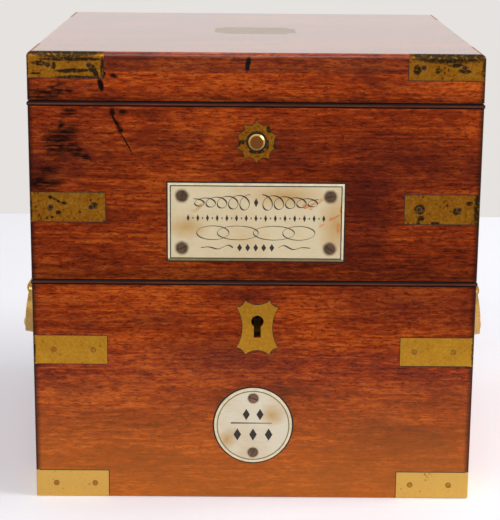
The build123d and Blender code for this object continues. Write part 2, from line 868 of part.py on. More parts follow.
def handle_bail():
    """The right side's bail: two pins, a bent flat bar and a swelled grip."""
    hang = Plane(origin=(pivot_x, 0, handle_z), x_dir=(0, 1, 0), z_dir=(1, 0, 0)).rotated((0, -handle_slant, 0))
    grip_start = Plane(origin=hang.from_local_coords((-grip_half, -handle_drop, 0)), z_dir=hang.x_dir)
    with BuildPart() as bail:
        with BuildSketch(hang):
            with BuildLine() as route:
                FilletPolyline(
                    (-arm_y, 0),
                    (-arm_y, -handle_elbow_drop),
                    (-grip_y, -handle_drop),
                    (grip_y, -handle_drop),
                    (arm_y, -handle_elbow_drop),
                    (arm_y, 0),
                    radius=handle_elbow_bend,
                )
            trace(route.line, 2 * handle_rod_radius)
            with Locations((-arm_y, 0), (arm_y, 0)):
                Circle(handle_rod_radius)
        extrude(amount=handle_bar_thickness / 2, both=True)
        for inward in (-1, 1):
            with BuildSketch(Plane(origin=(pivot_x, inward * arm_y, handle_z), z_dir=(0, -inward, 0))):
                Circle(handle_rod_radius)
            extrude(amount=arm_y - pin_end)
        with BuildSketch(grip_start):
            Circle(handle_rod_radius)
        for station in (handle_grip_taper, 2 * grip_half - handle_grip_taper):
            with BuildSketch(grip_start.offset(station)):
                Circle(handle_grip_radius)
        with BuildSketch(grip_start.offset(2 * grip_half)):
            Circle(handle_rod_radius)
        loft(ruled=True)
    return bail.part


save(handle_plate(), "right_handle_plate")
save(mirror(handle_plate(), about=Plane.YZ), "left_handle_plate")
save(handle_bail(), "right_handle_bail")
save(mirror(handle_bail(), about=Plane.YZ), "left_handle_bail")

# Radii from the box's inner faces down to the bowl, so that ring, bowl, bezel and dial follow the box
ring_face = min(half_width, half_depth) - wall - gimbal_room
ring_outer = ring_face - ring_pad_reach
ring_inner = ring_outer - ring_thickness
bowl_radius = ring_inner - ring_gap
bowl_boss_face = ring_inner - bowl_boss_gap
bowl_well_radius = bowl_radius - bowl_wall
glass_seat_radius = bowl_well_radius + glass_lap
bezel_radius = bowl_radius + bezel_overhang
bezel_inner = glass_seat_radius - bezel_lip
dial_radius = bowl_well_radius - dial_gap


def gimbal_bracket():
    """The right side's bracket: a plate on the wall, a boss and the pivot that the ring hangs on."""
    with BuildPart() as bracket:
        with BuildSketch(Plane.YZ.offset(wall_x - bracket_thickness)) as outline:
            with Locations((0, gimbal_z)):
                Rectangle(bracket_width, bracket_height)
            chamfer(outline.vertices(), bracket_cant)
        extrude(amount=bracket_thickness)
        for low, radius in ((ring_face + pivot_gap, bracket_boss_radius), (ring_inner + pivot_gap, pivot_radius)):
            with BuildSketch(Plane.YZ.offset(low)):
                with Locations((0, gimbal_z)):
                    Circle(radius)
            extrude(amount=wall_x - low)
    return bracket.part


save(gimbal_bracket(), "right_gimbal_bracket")
save(mirror(gimbal_bracket(), about=Plane.YZ), "left_gimbal_bracket")

with BuildPart() as gimbal_ring:
    with BuildSketch(Plane.XY.offset(gimbal_z - ring_height / 2)):
        Circle(ring_outer)
    extrude(amount=ring_height)
    for turn in range(4):
        facing = Plane(origin=(0, 0, gimbal_z), z_dir=(0, -1, 0)).rotated((0, 0, 90 * turn))
        with BuildSketch(facing.offset(ring_inner)):
            Rectangle(ring_pad_width, ring_height)
        extrude(amount=ring_face - ring_inner)
    with BuildSketch(Plane.XY.offset(gimbal_z - ring_height)):
        Circle(ring_inner)
    extrude(amount=2 * ring_height, mode=Mode.SUBTRACT)
    for across, bore_radius in ((Plane.YZ, pivot_radius + running_gap), (Plane.XZ, pivot_radius)):
        with BuildSketch(across):
            with Locations((0, gimbal_z)):
                Circle(bore_radius)
        extrude(amount=ring_face, both=True, mode=Mode.SUBTRACT)
save(gimbal_ring.part, "gimbal_ring")

pivot_tip = bowl_boss_face - bowl_pivot_depth + pivot_gap
with BuildPart() as ring_screws:
    for outward in (-1, 1):
        facing = Plane(origin=(0, 0, gimbal_z), z_dir=(0, outward, 0))
        with BuildSketch(facing.offset(ring_face)):
            Circle(pivot_head_radius)
        extrude(amount=pivot_head)
        with BuildSketch(facing.offset(ring_face)):
            Circle(pivot_radius)
        extrude(amount=pivot_tip - ring_face)
        with BuildSketch(facing.offset(ring_face + pivot_head)):
            Rectangle(2 * pivot_head_radius, screw_slot_width)
        extrude(amount=-screw_slot_depth, mode=Mode.SUBTRACT)
    with BuildSketch(Plane(origin=(0, 0, gimbal_z), z_dir=(arm_pivot_x, arm_pivot_y, 0)).offset(ring_outer)):
        Circle(stud_radius)
    extrude(amount=stud_reach)
save(ring_screws.part, "ring_screws")

# Bowl of the timepiece: a turned body with two pivot bosses and its well, and the dial with the stems that
# carry the hands; the centre stem passes through the hour hand
bowl_low = gimbal_z - bowl_below
bowl_rim = gimbal_z + bowl_above
well_floor = bowl_rim - bowl_well_depth
dial_top = well_floor + dial_thickness
small_hand_low = dial_top + hand_lift
hour_hand_low = small_hand_low + hand_step
minute_hand_low = hour_hand_low + hand_step
stems = (
    (0, centre_stem_radius, minute_hand_low - running_gap),
    (-subdial_offset, small_stem_radius, small_hand_low - running_gap),
    (subdial_offset, small_stem_radius, small_hand_low - running_gap),
)
with BuildPart() as bowl:
    with BuildSketch(Plane.XZ):
        with BuildLine():
            Polyline(
                (0, bowl_low),
                (bowl_radius - bowl_foot_bevel, bowl_low),
                (bowl_radius, bowl_low + bowl_foot_bevel),
                (bowl_radius, bowl_rim),
                (bowl_well_radius, bowl_rim),
                (bowl_well_radius, well_floor),
                (0, well_floor),
                close=True,
            )
        make_face()
    revolve(axis=Axis.Z)
    for outward in (-1, 1):
        facing = Plane(origin=(0, 0, gimbal_z), z_dir=(0, outward, 0))
        with BuildSketch(facing.offset(bowl_radius - bowl_wall)):
            Circle(bowl_boss_radius)
        extrude(amount=bowl_boss_face - bowl_radius + bowl_wall)
        with BuildSketch(facing.offset(bowl_boss_face)):
            Circle(pivot_radius + running_gap)
        extrude(amount=-bowl_pivot_depth, mode=Mode.SUBTRACT)
    with BuildSketch(Plane.XY.offset(bowl_low)):
        Circle(winding_hole_radius)
    extrude(amount=winding_hole_depth, mode=Mode.SUBTRACT)
save(bowl.part, "bowl")

with BuildPart() as bezel:
    with BuildSketch(Plane.XZ):
        with BuildLine():
            Polyline(
                (glass_seat_radius, bowl_rim),
                (bezel_radius, bowl_rim),
                (bezel_radius, bowl_rim + bezel_height - bezel_bevel),
                (bezel_radius - bezel_bevel, bowl_rim + bezel_height),
                (bezel_inner + bezel_bevel, bowl_rim + bezel_height),
                (bezel_inner, bowl_rim + glass_thickness + seat_gap),
                (glass_seat_radius, bowl_rim + glass_thickness + seat_gap),
                close=True,
            )
        make_face()
    revolve(axis=Axis.Z)
save(bezel.part, "bezel")

with BuildPart() as bowl_glass:
    with BuildSketch(Plane.XY.offset(bowl_rim)):
        Circle(glass_seat_radius - seat_gap)
    extrude(amount=glass_thickness)
save(bowl_glass.part, "bowl_glass")

with BuildPart() as dial:
    with BuildSketch(Plane.XY.offset(well_floor)):
        Circle(dial_radius)
    extrude(amount=dial_thickness)
    for stem_y, stem_radius, stem_top in stems:
        with BuildSketch(Plane.XY.offset(dial_top)):
            with Locations((0, stem_y)):
                Circle(stem_radius)
        extrude(amount=stem_top - dial_top)
save(dial.part, "dial")


def hand(stem, boss_radius, low, turn, width, spade_start, length):
    """A hand on its stem, pointing `turn` degrees clockwise from the back: a boss, a blade, a spade and a tail."""
    stem_y, stem_radius, stem_top = stem
    with BuildPart() as piece:
        with BuildSketch(Plane(origin=(0, stem_y, low), z_dir=(0, 0, 1)).rotated((0, 0, -turn))):
            with BuildLine():
                Polyline(
                    (-width / 2, 0),
                    (-width / 4, spade_start),
                    (-width, spade_start + width),
                    (0, length),
                    (width, spade_start + width),
                    (width / 4, spade_start),
                    (width / 2, 0),
                    (width / 2, -2 * boss_radius),
                    (-width / 2, -2 * boss_radius),
                    close=True,
                )
            make_face()
            Circle(boss_radius)
            if stem_top > low:
                Circle(stem_radius + running_gap, mode=Mode.SUBTRACT)
        extrude(amount=hand_thickness)
    return piece.part


centre_stem, seconds_stem, wind_stem = stems
hands = {
    "hour_hand": (centre_stem, hour_boss_radius, hour_hand_low, hour_turn, hour_hand_width, hour_spade_start),
    "minute_hand": (
        centre_stem,
        minute_boss_radius,
        minute_hand_low,
        minute_turn,
        minute_hand_width,
        minute_spade_start,
    ),
    "seconds_hand": (
        seconds_stem,
        small_boss_radius,
        small_hand_low,
        seconds_turn,
        small_hand_width,
        seconds_hand_length - small_spade_length,
    ),
    "wind_hand": (
        wind_stem,
        small_boss_radius,
        small_hand_low,
        wind_turn,
        small_hand_width,
        wind_hand_length - small_spade_length,
    ),
}
lengths = (hour_hand_length, minute_hand_length, seconds_hand_length, wind_hand_length)
for (hand_name, settings), length in zip(hands.items(), lengths):
    save(hand(*settings, length), hand_name)

# Gimbal lock: a bracket with a post, and an arm whose forked tip swings over the ring's stud
arm_length = math.hypot(arm_pivot_x, arm_pivot_y) - ring_outer - arm_tip_gap
hub_low = gimbal_z - arm_hub_height / 2
shelf_top = hub_low - pivot_gap
with BuildPart() as arm_bracket:
    with BuildSketch(Plane.YZ.offset(wall_x - arm_bracket_thickness)):
        with Locations((arm_pivot_y, shelf_top - arm_bracket_height / 2)):
            Rectangle(arm_bracket_length, arm_bracket_height)
    extrude(amount=arm_bracket_thickness)
    with BuildSketch(Plane.XY.offset(shelf_top - arm_bracket_thickness)):
        with Locations((arm_pivot_x, arm_pivot_y)):
            Circle(arm_bracket_length / 4)
        with Locations(((arm_pivot_x + wall_x) / 2, arm_pivot_y)):
            Rectangle(wall_x - arm_pivot_x, arm_bracket_length / 2)
    extrude(amount=arm_bracket_thickness)
    with BuildSketch(Plane.XY.offset(shelf_top)):
        with Locations((arm_pivot_x, arm_pivot_y)):
            Circle(arm_post_radius)
    extrude(amount=arm_hub_height + 2 * pivot_gap)
    with BuildSketch(Plane.XY.offset(shelf_top + arm_hub_height + 2 * pivot_gap)):
        with Locations((arm_pivot_x, arm_pivot_y)):
            Circle((arm_post_radius + arm_hub_radius) / 2)
    extrude(amount=arm_thickness / 2)
save(arm_bracket.part, "lock_arm_bracket")

with BuildPart() as lock_arm:
    with BuildSketch(Plane.XY.offset(hub_low)):
        with Locations((arm_pivot_x, arm_pivot_y)):
            Circle(arm_hub_radius)
    extrude(amount=arm_hub_height)
    with BuildSketch(Plane.XY.offset(gimbal_z - arm_thickness / 2)):
        with Locations((arm_pivot_x, arm_pivot_y + arm_length / 2)):
            Rectangle(arm_width, arm_length)
    extrude(amount=arm_thickness)
    with BuildSketch(Plane.XY.offset(gimbal_z - arm_tip_height / 2)):
        with Locations((arm_pivot_x, arm_pivot_y + arm_length - arm_tip_length / 2)):
            Rectangle(arm_width, arm_tip_length)
    extrude(amount=arm_tip_height)
    with BuildSketch(Plane.XY.offset(gimbal_z - arm_slot / 2)):
        with Locations((arm_pivot_x, arm_pivot_y + arm_length)):
            Rectangle(arm_width + past, 2 * (arm_tip_length - arm_tip_web))
    extrude(amount=arm_slot, mode=Mode.SUBTRACT)
    with BuildSketch(Plane.XY.offset(hub_low)):
        with Locations((arm_pivot_x, arm_pivot_y)):
            Circle(arm_post_radius + running_gap)
    extrude(amount=arm_hub_height, mode=Mode.SUBTRACT)
save(lock_arm.part, "lock_arm")

# Winding key and the block that it stands in
block_x = -half_width + wall + key_block_size / 2
block_y = -half_depth + wall + key_block_size / 2
block_top = floor_thickness + key_block_height
barrel_low = block_top - key_barrel_below
neck_low = barrel_low + key_barrel_height
bow_low = neck_low + key_neck_height
with BuildPart() as key_block:
    with BuildSketch(Plane.XY.offset(floor_thickness)):
        with Locations((block_x, block_y)):
            Rectangle(key_block_size, key_block_size)
    extrude(amount=key_block_height)
    chamfer(key_block.faces().sort_by(Axis.Z)[-1].edges(), beading_bevel)
    with BuildSketch(Plane.XY.offset(barrel_low)):
        with Locations((block_x, block_y)):
            Circle(key_barrel_radius + key_play)
    extrude(amount=key_barrel_below, mode=Mode.SUBTRACT)
save(key_block.part, "key_block")

with BuildPart() as winding_key:
    with BuildSketch(Plane.XY.offset(barrel_low)):
        with Locations((block_x, block_y)):
            Circle(key_barrel_radius)
    extrude(amount=key_barrel_height)
    with BuildSketch(Plane.XY.offset(neck_low)):
        with Locations((block_x, block_y)):
            Circle(key_neck_radius)
    extrude(amount=2 * key_neck_height)
    bow_middle = (block_x, block_y, bow_low + key_bow_height / 2)
    with BuildSketch(Plane(origin=bow_middle, x_dir=(1, -1, 0), z_dir=(1, 1, 0))):
        SlotOverall(key_bow_width, key_bow_height)
        SlotOverall(key_bow_width - 2 * key_bow_band, key_bow_height - 2 * key_bow_band, mode=Mode.SUBTRACT)
    extrude(amount=key_bow_thickness / 2, both=True)
    with BuildSketch(Plane.XY.offset(barrel_low)):
        with Locations((block_x, block_y)):
            Rectangle(key_square, key_square)
    extrude(amount=key_barrel_below / 3, mode=Mode.SUBTRACT)
save(winding_key.part, "winding_key")
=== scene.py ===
"""Brass-bound chronometer box: its finishes, engraving, pins, screws, dial markings and stage."""

import math
import random

import bmesh
import bpy
from mathutils import Matrix, Vector


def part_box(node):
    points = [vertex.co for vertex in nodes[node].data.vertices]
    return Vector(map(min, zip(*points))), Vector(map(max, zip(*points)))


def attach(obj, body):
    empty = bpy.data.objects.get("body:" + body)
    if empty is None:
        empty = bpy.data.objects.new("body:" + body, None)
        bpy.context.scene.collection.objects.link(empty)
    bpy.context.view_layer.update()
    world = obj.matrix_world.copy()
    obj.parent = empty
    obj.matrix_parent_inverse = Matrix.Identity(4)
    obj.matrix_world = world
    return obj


bl_info = {
    "name": "Chronometer Box",
    "version": (1, 0, 0),
    "blender": (4, 5, 0),
    "location": "3D View > Sidebar > Chronometer Box",
    "description": "Finishes and small fittings of a three-tier brass-bound chronometer box",
    "category": "Object",
}

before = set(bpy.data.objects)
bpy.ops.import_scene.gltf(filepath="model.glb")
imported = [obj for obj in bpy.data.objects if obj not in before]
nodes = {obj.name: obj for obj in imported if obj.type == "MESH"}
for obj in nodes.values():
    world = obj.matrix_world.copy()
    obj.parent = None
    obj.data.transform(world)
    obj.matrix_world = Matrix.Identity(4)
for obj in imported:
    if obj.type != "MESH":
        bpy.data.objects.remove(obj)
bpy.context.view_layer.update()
MM = 0.001

# Inputs and output for colours of the Mix node, whose sockets have the same name for each kind of value
MIX_A, MIX_B, MIX_RESULT = 6, 7, 2

# Shine of the wood, depth of the polish and roughness of the wood, where the polish is worn and where kept
WORN_POLISH = (0.04, 0.24, 0.45)
KEPT_POLISH = (0.27, 0.78, 0.14)

# Height in millimetres that the ladder of tones of the wood reaches
TALLEST = 200.0


# Settings


def linear(hex_colour):
    """Turns an sRGB hex colour into linear red, green and blue."""
    values = [int(hex_colour[start : start + 2], 16) / 255 for start in (1, 3, 5)]
    return [v / 12.92 if v <= 0.04045 else ((v + 0.055) / 1.055) ** 2.4 for v in values]


def colour_setting(name, description, hex_colour):
    """A colour that a user may change."""
    return bpy.props.FloatVectorProperty(
        name=name,
        description=description,
        subtype="COLOR",
        size=3,
        min=0.0,
        max=1.0,
        default=linear(hex_colour),
    )


def length_setting(name, description, millimetres):
    """A length that a user may change."""
    return bpy.props.FloatProperty(
        name=name,
        description=description,
        subtype="DISTANCE",
        unit="LENGTH",
        min=0.0,
        default=millimetres * MM,
    )


class ChronometerColours(bpy.types.PropertyGroup):
    """Colours of the woods, metals, bone and ink"""

    wood_deep: colour_setting("Mahogany, deep", "Darkest figure of the mahogany", "#541804")
    wood_middle: colour_setting("Mahogany, middle", "Ground colour of the mahogany", "#92330a")
    wood_light: colour_setting("Mahogany, light", "Lightest figure of the mahogany", "#c45b19")
    # Painted reflection of the white floor on the foot of the box
    wood_floor_reflection: colour_setting("Mahogany, faded", "Foot of the box, bleached by light", "#d47d2c")
    wood_cloud: colour_setting("Mahogany, clouded", "Purple-brown clouds in the figure", "#4a1410")
    wood_pore: colour_setting("Mahogany, pores", "Filled pores of the mahogany", "#2a0b04")
    ebony: colour_setting("Ebony", "The bead round the tiers", "#160b09")
    # Painted highlight along the crest of the ebony bead
    ebony_lit: colour_setting("Ebony, rubbed", "Rubbed crest of the bead", "#64301f")
    # Grime is also painted shadow round the name plate, the number disc and the escutcheons, and painted
    # shade round the button
    grime: colour_setting("Grime", "Old polish and dust in the joints", "#1c0e08")
    brass: colour_setting("Brass", "Worn rolled brass", "#d8a134")
    # Also the paler brass at the foot of the base straps
    brass_pale: colour_setting("Brass, rubbed", "Brass where it is rubbed clean", "#e6c06c")
    brass_brown: colour_setting("Brass, browned", "Thin brown tarnish on the brass", "#9a4f0c")
    tarnish: colour_setting("Tarnish", "Black tarnish on the brass", "#3c2f1c")
    lacquered_brass: colour_setting("Lacquered brass", "Brass of the instrument", "#d9b05c")
    steel: colour_setting("Steel", "Pins and bolt", "#8d8b86")
    screw: colour_setting("Screws", "Browned steel of the plate screws", "#967a66")
    cartouche: colour_setting("Cartouche", "Brass of the lid's plate, gone pale and grey", "#c8b9a7")
    bone: colour_setting("Bone", "Name plate", "#dccba6")
    bone_disc: colour_setting("Bone, number disc", "Whiter bone of the number disc", "#e0d6be")
    bone_browned: colour_setting("Bone, browned", "Dirt round the screws of the bone", "#5e4727")
    # Also the painted highlight on the name plate's rim
    bone_rim: colour_setting("Bone, rim", "Bevelled rims of the bone", "#e9dbb8")
    bone_stain: colour_setting("Bone, stained", "Yellowed parts of the bone", "#c39a5c")
    rust: colour_setting("Rust", "Rust run on the bone", "#c9691a")
    # Also the painted shade on the lower rim of the name plate
    bone_groove_and_rim_shade: colour_setting("Bone, groove", "Grimed groove inside the disc's rim", "#857443")
    button_end: colour_setting("Button, worn end", "End of the push button", "#b8753c")
    ink: colour_setting("Ink", "Lines cut in the bone and filled", "#2b241c")
    dial: colour_setting("Dial", "Silvered dial", "#dcd9cf")
    gilt: colour_setting("Gilt", "Hour and minute hands", "#e0b24a")
    blued: colour_setting("Blued steel", "Small hands", "#1c2f6e")
    floor: colour_setting("Floor", "Pale table top", "#f4f2f3")
    background: colour_setting("Background", "Pale wall", "#e6e2df")


class ChronometerSizes(bpy.types.PropertyGroup):
    """Sizes of the small fittings and of the engraving"""

    pin_radius: length_setting("Strap pin radius", "Flush pins that hold the corner straps", 0.95)
    pin_inset: length_setting("Strap pin inset", "Nearer pin of a strap, from the corner", 8.6)
    pin_spacing: length_setting("Strap pin spacing", "Between the two pins of a strap", 16.4)
    strap_length: length_setting("Strap length", "Reach of a corner strap along each side", 31.0)
    screw_radius: length_setting("Small screw radius", "Brass screws of the fittings", 1.9)
    border_inset: length_setting("Plate border inset", "Border line, from the plate's edge", 1.05)
    border_width: length_setting("Plate border width", "Width of the border line", 0.42)
    # Round the plates and escutcheons, the dark line is also painted shadow
    grime_width: length_setting("Joint line width", "Dark line of old polish round a fitting", 0.32)
    line_height: length_setting("Engraving height", "How proud a filled line stands", 0.03)
    numeral_height: length_setting("Hour numeral height", "Roman numerals of the dial", 7.0)
    digit_height: length_setting("Small numeral height", "Numerals of the small dials", 2.6)


def sizes():
    return bpy.context.scene.chronometer_sizes


def paint(setting, share=1.0):
    """A colour setting as red, green, blue and alpha, scaled by share."""
    return [value * share for value in getattr(bpy.context.scene.chronometer_colours, setting)] + [1.0]


# Nodes


def add(tree, kind, feeds=None, values=None, stops=(), **settings):
    """Adds one shader node with its links, input values, colour stops and settings, and returns it.

    A feed is an output, or a node whose first output is meant.
    """
    made = tree.nodes.new(f"ShaderNode{kind}")
    for setting, value in settings.items():
        setattr(made, setting, value)
    for socket, value in (values or {}).items():
        made.inputs[socket].default_value = value
    for socket, source in (feeds or {}).items():
        tree.links.new(getattr(source, "outputs", [source])[0], made.inputs[socket])
    for index, (position, colour) in enumerate(stops):
        # A new ramp has two stops
        element = made.color_ramp.elements[index] if index < 2 else made.color_ramp.elements.new(1.0)
        element.position = position
        element.color = colour
    return made


def new_material(name):
    """An empty node material, its tree, and the place on the part in metres, which pattern scales use."""
    material = bpy.data.materials.new(name)
    material.use_nodes = True
    tree = material.node_tree
    tree.nodes.clear()
    return material, tree, add(tree, "TexCoord").outputs["Object"]


def finished(material, values, feeds):
    """Ends a material with its Principled shader, and returns it."""
    tree = material.node_tree
    surface = add(tree, "BsdfPrincipled", feeds, values)
    add(tree, "OutputMaterial", {"Surface": surface})
    return material


def grain(tree, place, pitch, detail, bent=0.0, roughness=0.5):
    """Noise that is stretched by its pitch, which is how many cells it has in a metre along X, Y and Z."""
    laid = add(tree, "VectorMath", {0: place}, {1: pitch}, operation="MULTIPLY")
    values = {"Scale": 1.0, "Detail": detail, "Roughness": roughness, "Distortion": bent}
    return add(tree, "TexNoise", {"Vector": laid}, values)


def on_front(rows, node="base_front_board", behind=0.0, reach=3.0):
    """Marks on the front face of a node, or behind it, from rows of X, Z, half width and half height.

    A row ends with the mark's turn where it is turned. Lengths are in millimetres.
    """
    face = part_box(node)[0].y / MM + behind
    marks = []
    for row in rows:
        x, z, half_x, half_z, turn = (*row, 0.0)[:5]
        marks.append(((x, face, z), (half_x, reach, half_z), turn))
    return marks


def marked(tree, place, marks, core=0.7, ragged=2.4):
    """How strongly the marks show at a place.

    A mark is its middle and half sizes in millimetres and its turn about Y in degrees. It is full inside
    the share of its size that core gives, and fades out from there. Its edge wanders by ragged millimetres.
    """
    rough = add(tree, "TexNoise", {"Vector": place}, {"Scale": 420.0, "Detail": 3.0})
    wander = (ragged, 0.0, ragged)
    torn = add(
        tree,
        "VectorMath",
        {0: rough.outputs["Color"], 2: place},
        {1: [value * MM for value in wander]},
        operation="MULTIPLY_ADD",
    )
    strongest = None
    for middle, half, turn in marks:
        mapping = {
            "Location": [(value + shift / 2) * MM for value, shift in zip(middle, wander)],
            "Rotation": (0.0, math.radians(turn), 0.0),
            "Scale": [value * MM for value in half],
        }
        spot = add(tree, "Mapping", {"Vector": torn}, mapping, vector_type="TEXTURE")
        far = add(tree, "VectorMath", {0: spot}, operation="LENGTH").outputs["Value"]
        share = add(tree, "MapRange", {"Value": far}, {"From Min": 1.15, "From Max": core})
        if strongest is None:
            strongest = share
        else:
            strongest = add(tree, "Math", {0: strongest, 1: share}, operation="MAXIMUM")
    return strongest


def beyond(tree, place, axis, middle, near, far):
    """Rises from 0 to 1 as a place goes from near to far millimetres off the middle, along an axis."""
    parts = add(tree, "SeparateXYZ", {"Vector": place})
    shifted = add(tree, "Math", {0: parts.outputs[axis]}, {1: middle * MM}, operation="SUBTRACT")
    off = add(tree, "Math", {0: shifted}, operation="ABSOLUTE")
    return add(tree, "MapRange", {"Value": off}, {"From Min": near * MM, "From Max": far * MM})


def tinted(tree, ground, share, colour):
    """Lays a colour over a ground, which is a colour or an output, where share says."""
    values = {MIX_B: colour}
    feeds = {0: share}
    if isinstance(ground, list):
        values[MIX_A] = ground
    else:
        feeds[MIX_A] = ground
    return add(tree, "Mix", feeds, values, data_type="RGBA").outputs[MIX_RESULT]


def dress(names, material):
    """Gives CAD nodes a material."""
    for name in names:
        nodes[name].material_slots[0].material = material


# Materials


def french_polished_mahogany(
    name,
    grain_turn,
    tones,
    darkened_axis=None,
    shades=(),
    stains=(),
    scratches=(),
    polish=WORN_POLISH,
    flat_top=0.0,
):
    """Mahogany, French polished: short dark pores in an orange-red ground under a clear, deep gloss.

    grain_turn lays the grain along X or Y. tones are heights in millimetres and the colour's share there.
    The wood is darker towards both ends of the axis given after the tones. shades are darker patches laid
    over the figure. flat_top is the height in millimetres of a face that has kept its polish, and whose
    edges are painted darker, as shade.
    """
    material, tree, place = new_material(name)
    laid = add(tree, "Mapping", {"Vector": place}, {"Rotation": (0.0, 0.0, grain_turn)})
    wavy = laid
    # The fibres wander by about 2 mm over a run of 70 mm, and by 0.4 mm over a run of 10 mm
    for pitch, reach in (((14.0, 45.0, 45.0), 0.004), ((100.0, 150.0, 150.0), 0.0009)):
        sway = grain(tree, laid, pitch, 2.0).outputs["Color"]
        wavy = add(
            tree, "VectorMath", {0: sway, 2: wavy}, {1: (0.0, reach, reach)}, operation="MULTIPLY_ADD"
        )
    # Figure 70 x 14 mm, clouds 38 x 16 mm, growth lines 36 x 0.9 mm, flecks 5 x 1.1 mm
    figure = grain(tree, wavy, (14.0, 70.0, 70.0), 4.0, 0.0, 0.55)
    clouds = grain(tree, wavy, (26.0, 62.0, 62.0), 3.0, 0.4, 0.55)
    lines = grain(tree, wavy, (28.0, 1100.0, 1100.0), 2.0, 0.2, 0.55)
    flecks = grain(tree, wavy, (200.0, 900.0, 900.0), 2.0, 0.5, 0.55)
    # Pores are 0.2 mm wide, and are drawn 0.5 mm wide so that they show
    pores = grain(tree, wavy, (520.0, 2000.0, 2000.0), 1.0, 0.6, 0.55)

    fine = add(tree, "Math", {0: lines, 2: flecks}, {1: 0.8}, operation="MULTIPLY_ADD")
    tone = add(tree, "Math", {0: figure, 1: fine}, operation="ADD")
    share = add(tree, "MapRange", {"Value": tone}, {"From Min": 1.02, "From Max": 1.78})
    figures = [(0.0, paint("wood_deep")), (0.5, paint("wood_middle")), (1.0, paint("wood_light"))]
    ground = add(tree, "ValToRGB", {"Fac": share}, stops=figures)
    span = {"From Min": 0.52, "From Max": 0.72, "To Max": 0.5}
    clouded = add(tree, "MapRange", {"Value": clouds}, span)
    # Darker patches at the places in shades, laid over the figure
    if shades:
        broad = marked(tree, place, shades, core=0.0)
        summed = {"operation": "MULTIPLY_ADD", "use_clamp": True}
        clouded = add(tree, "Math", {0: broad, 2: clouded}, {1: 0.6}, **summed)
    colour = tinted(tree, ground, clouded, paint("wood_cloud"))
    span = {"From Min": 0.54, "From Max": 0.66, "To Max": 0.6}
    sunk = add(tree, "MapRange", {"Value": pores}, span)
    colour = tinted(tree, colour, sunk, paint("wood_pore"))

    # The colour is scaled by height: partly the tone of each tier's board, partly painted light and shade
    height = add(tree, "SeparateXYZ", {"Vector": place}).outputs["Z"]
    level = add(tree, "MapRange", {"Value": height}, {"From Min": 0.0, "From Max": TALLEST * MM})
    # A ramp's colours end at 1, so the shares are halved in it and doubled after it
    halves = [(z / TALLEST, [part / 2] * 3 + [1.0]) for z, part in tones]
    board = add(tree, "ValToRGB", {"Fac": level}, stops=halves)
    doubled = add(tree, "Math", {0: board}, {1: 2.0}, operation="MULTIPLY")
    toned = add(tree, "VectorMath", {0: colour, "Scale": doubled}, operation="SCALE")
    # Painted reflection of the white floor: the wood turns paler towards the foot
    span = {"From Min": 0.055, "From Max": 0.0, "To Max": 0.5}
    floor_reflection = add(tree, "MapRange", {"Value": height}, span)
    colour = tinted(tree, toned, floor_reflection, paint("wood_floor_reflection"))
    if darkened_axis:
        # The wood is darker towards the upright corners
        colour = tinted(tree, colour, beyond(tree, place, darkened_axis, 0.0, 89.42, 91.82), paint("grime"))
    if stains:
        # Spilt ink and soot, taken up unevenly by the fibres
        span = {"From Min": 0.9, "From Max": 0.45, "To Min": 0.35, "To Max": 1.0}
        uneven = add(tree, "MapRange", {"Value": share}, span)
        spilt = marked(tree, place, stains, core=0.4)
        stained = add(tree, "Math", {0: spilt, 1: uneven}, operation="MULTIPLY")
        colour = tinted(tree, colour, stained, paint("wood_pore", 0.5))
    if scratches:
        colour = tinted(tree, colour, marked(tree, place, scratches, ragged=1.2), paint("wood_pore", 0.3))

    wood_shine, polish_depth, roughness = polish
    feeds = {}
    if flat_top:
        # Hands and dusters have kept the polish on the flat top, and its edges are duller; the edges are
        # also painted darker, as shade
        flat = beyond(tree, place, "Z", 0.0, flat_top - 1.5, flat_top - 0.2)
        edge = add(tree, "MapRange", {"Value": flat}, {"To Min": 0.5, "To Max": 1.0})
        colour = add(tree, "VectorMath", {0: colour, "Scale": edge}, operation="SCALE")
        feeds["Coat Weight"] = add(
            tree, "MapRange", {"Value": flat}, {"To Min": 0.1, "To Max": polish_depth}
        )
    feeds["Base Color"] = colour
    feeds["Normal"] = add(
        tree, "Bump", {"Height": sunk}, {"Strength": 0.2, "Distance": 0.0001}, invert=True
    )
    values = {
        "Roughness": roughness,
        "IOR": 1.5,
        "Specular IOR Level": wood_shine,
        "Coat Weight": polish_depth,
        "Coat Roughness": 0.12,
        "Coat IOR": 1.5,
    }
    return finished(material, values, feeds)


def polished_ebony(name, low, high):
    """Ebony, moulded and polished: near black in its quirks as painted shade, with a painted purple-brown
    highlight on its crest.
    """
    material, tree, place = new_material(name)
    # Fibre about 0.6 mm wide and 12 mm long
    fibre = grain(tree, place, (80.0, 80.0, 1600.0), 2.0)
    # Painted highlight along the crest, and painted shade towards the quirks at the bead's edges
    rubbed = [(0.35, paint("ebony_lit", 0.6)), (0.7, paint("ebony_lit", 1.2))]
    crest_highlight = add(tree, "ValToRGB", {"Fac": fibre}, stops=rubbed)
    half = (high - low) / 2 / MM
    quirk_shade = beyond(tree, place, "Z", (low + high) / 2 / MM, 0.12 * half, 0.42 * half)
    values = {
        "Roughness": 0.5,
        "IOR": 1.5,
        "Specular IOR Level": 0.15,
        "Coat Weight": 0.1,
        "Coat Roughness": 0.2,
    }
    return finished(material, values, {"Base Color": tinted(tree, crest_highlight, quirk_shade, paint("ebony"))})


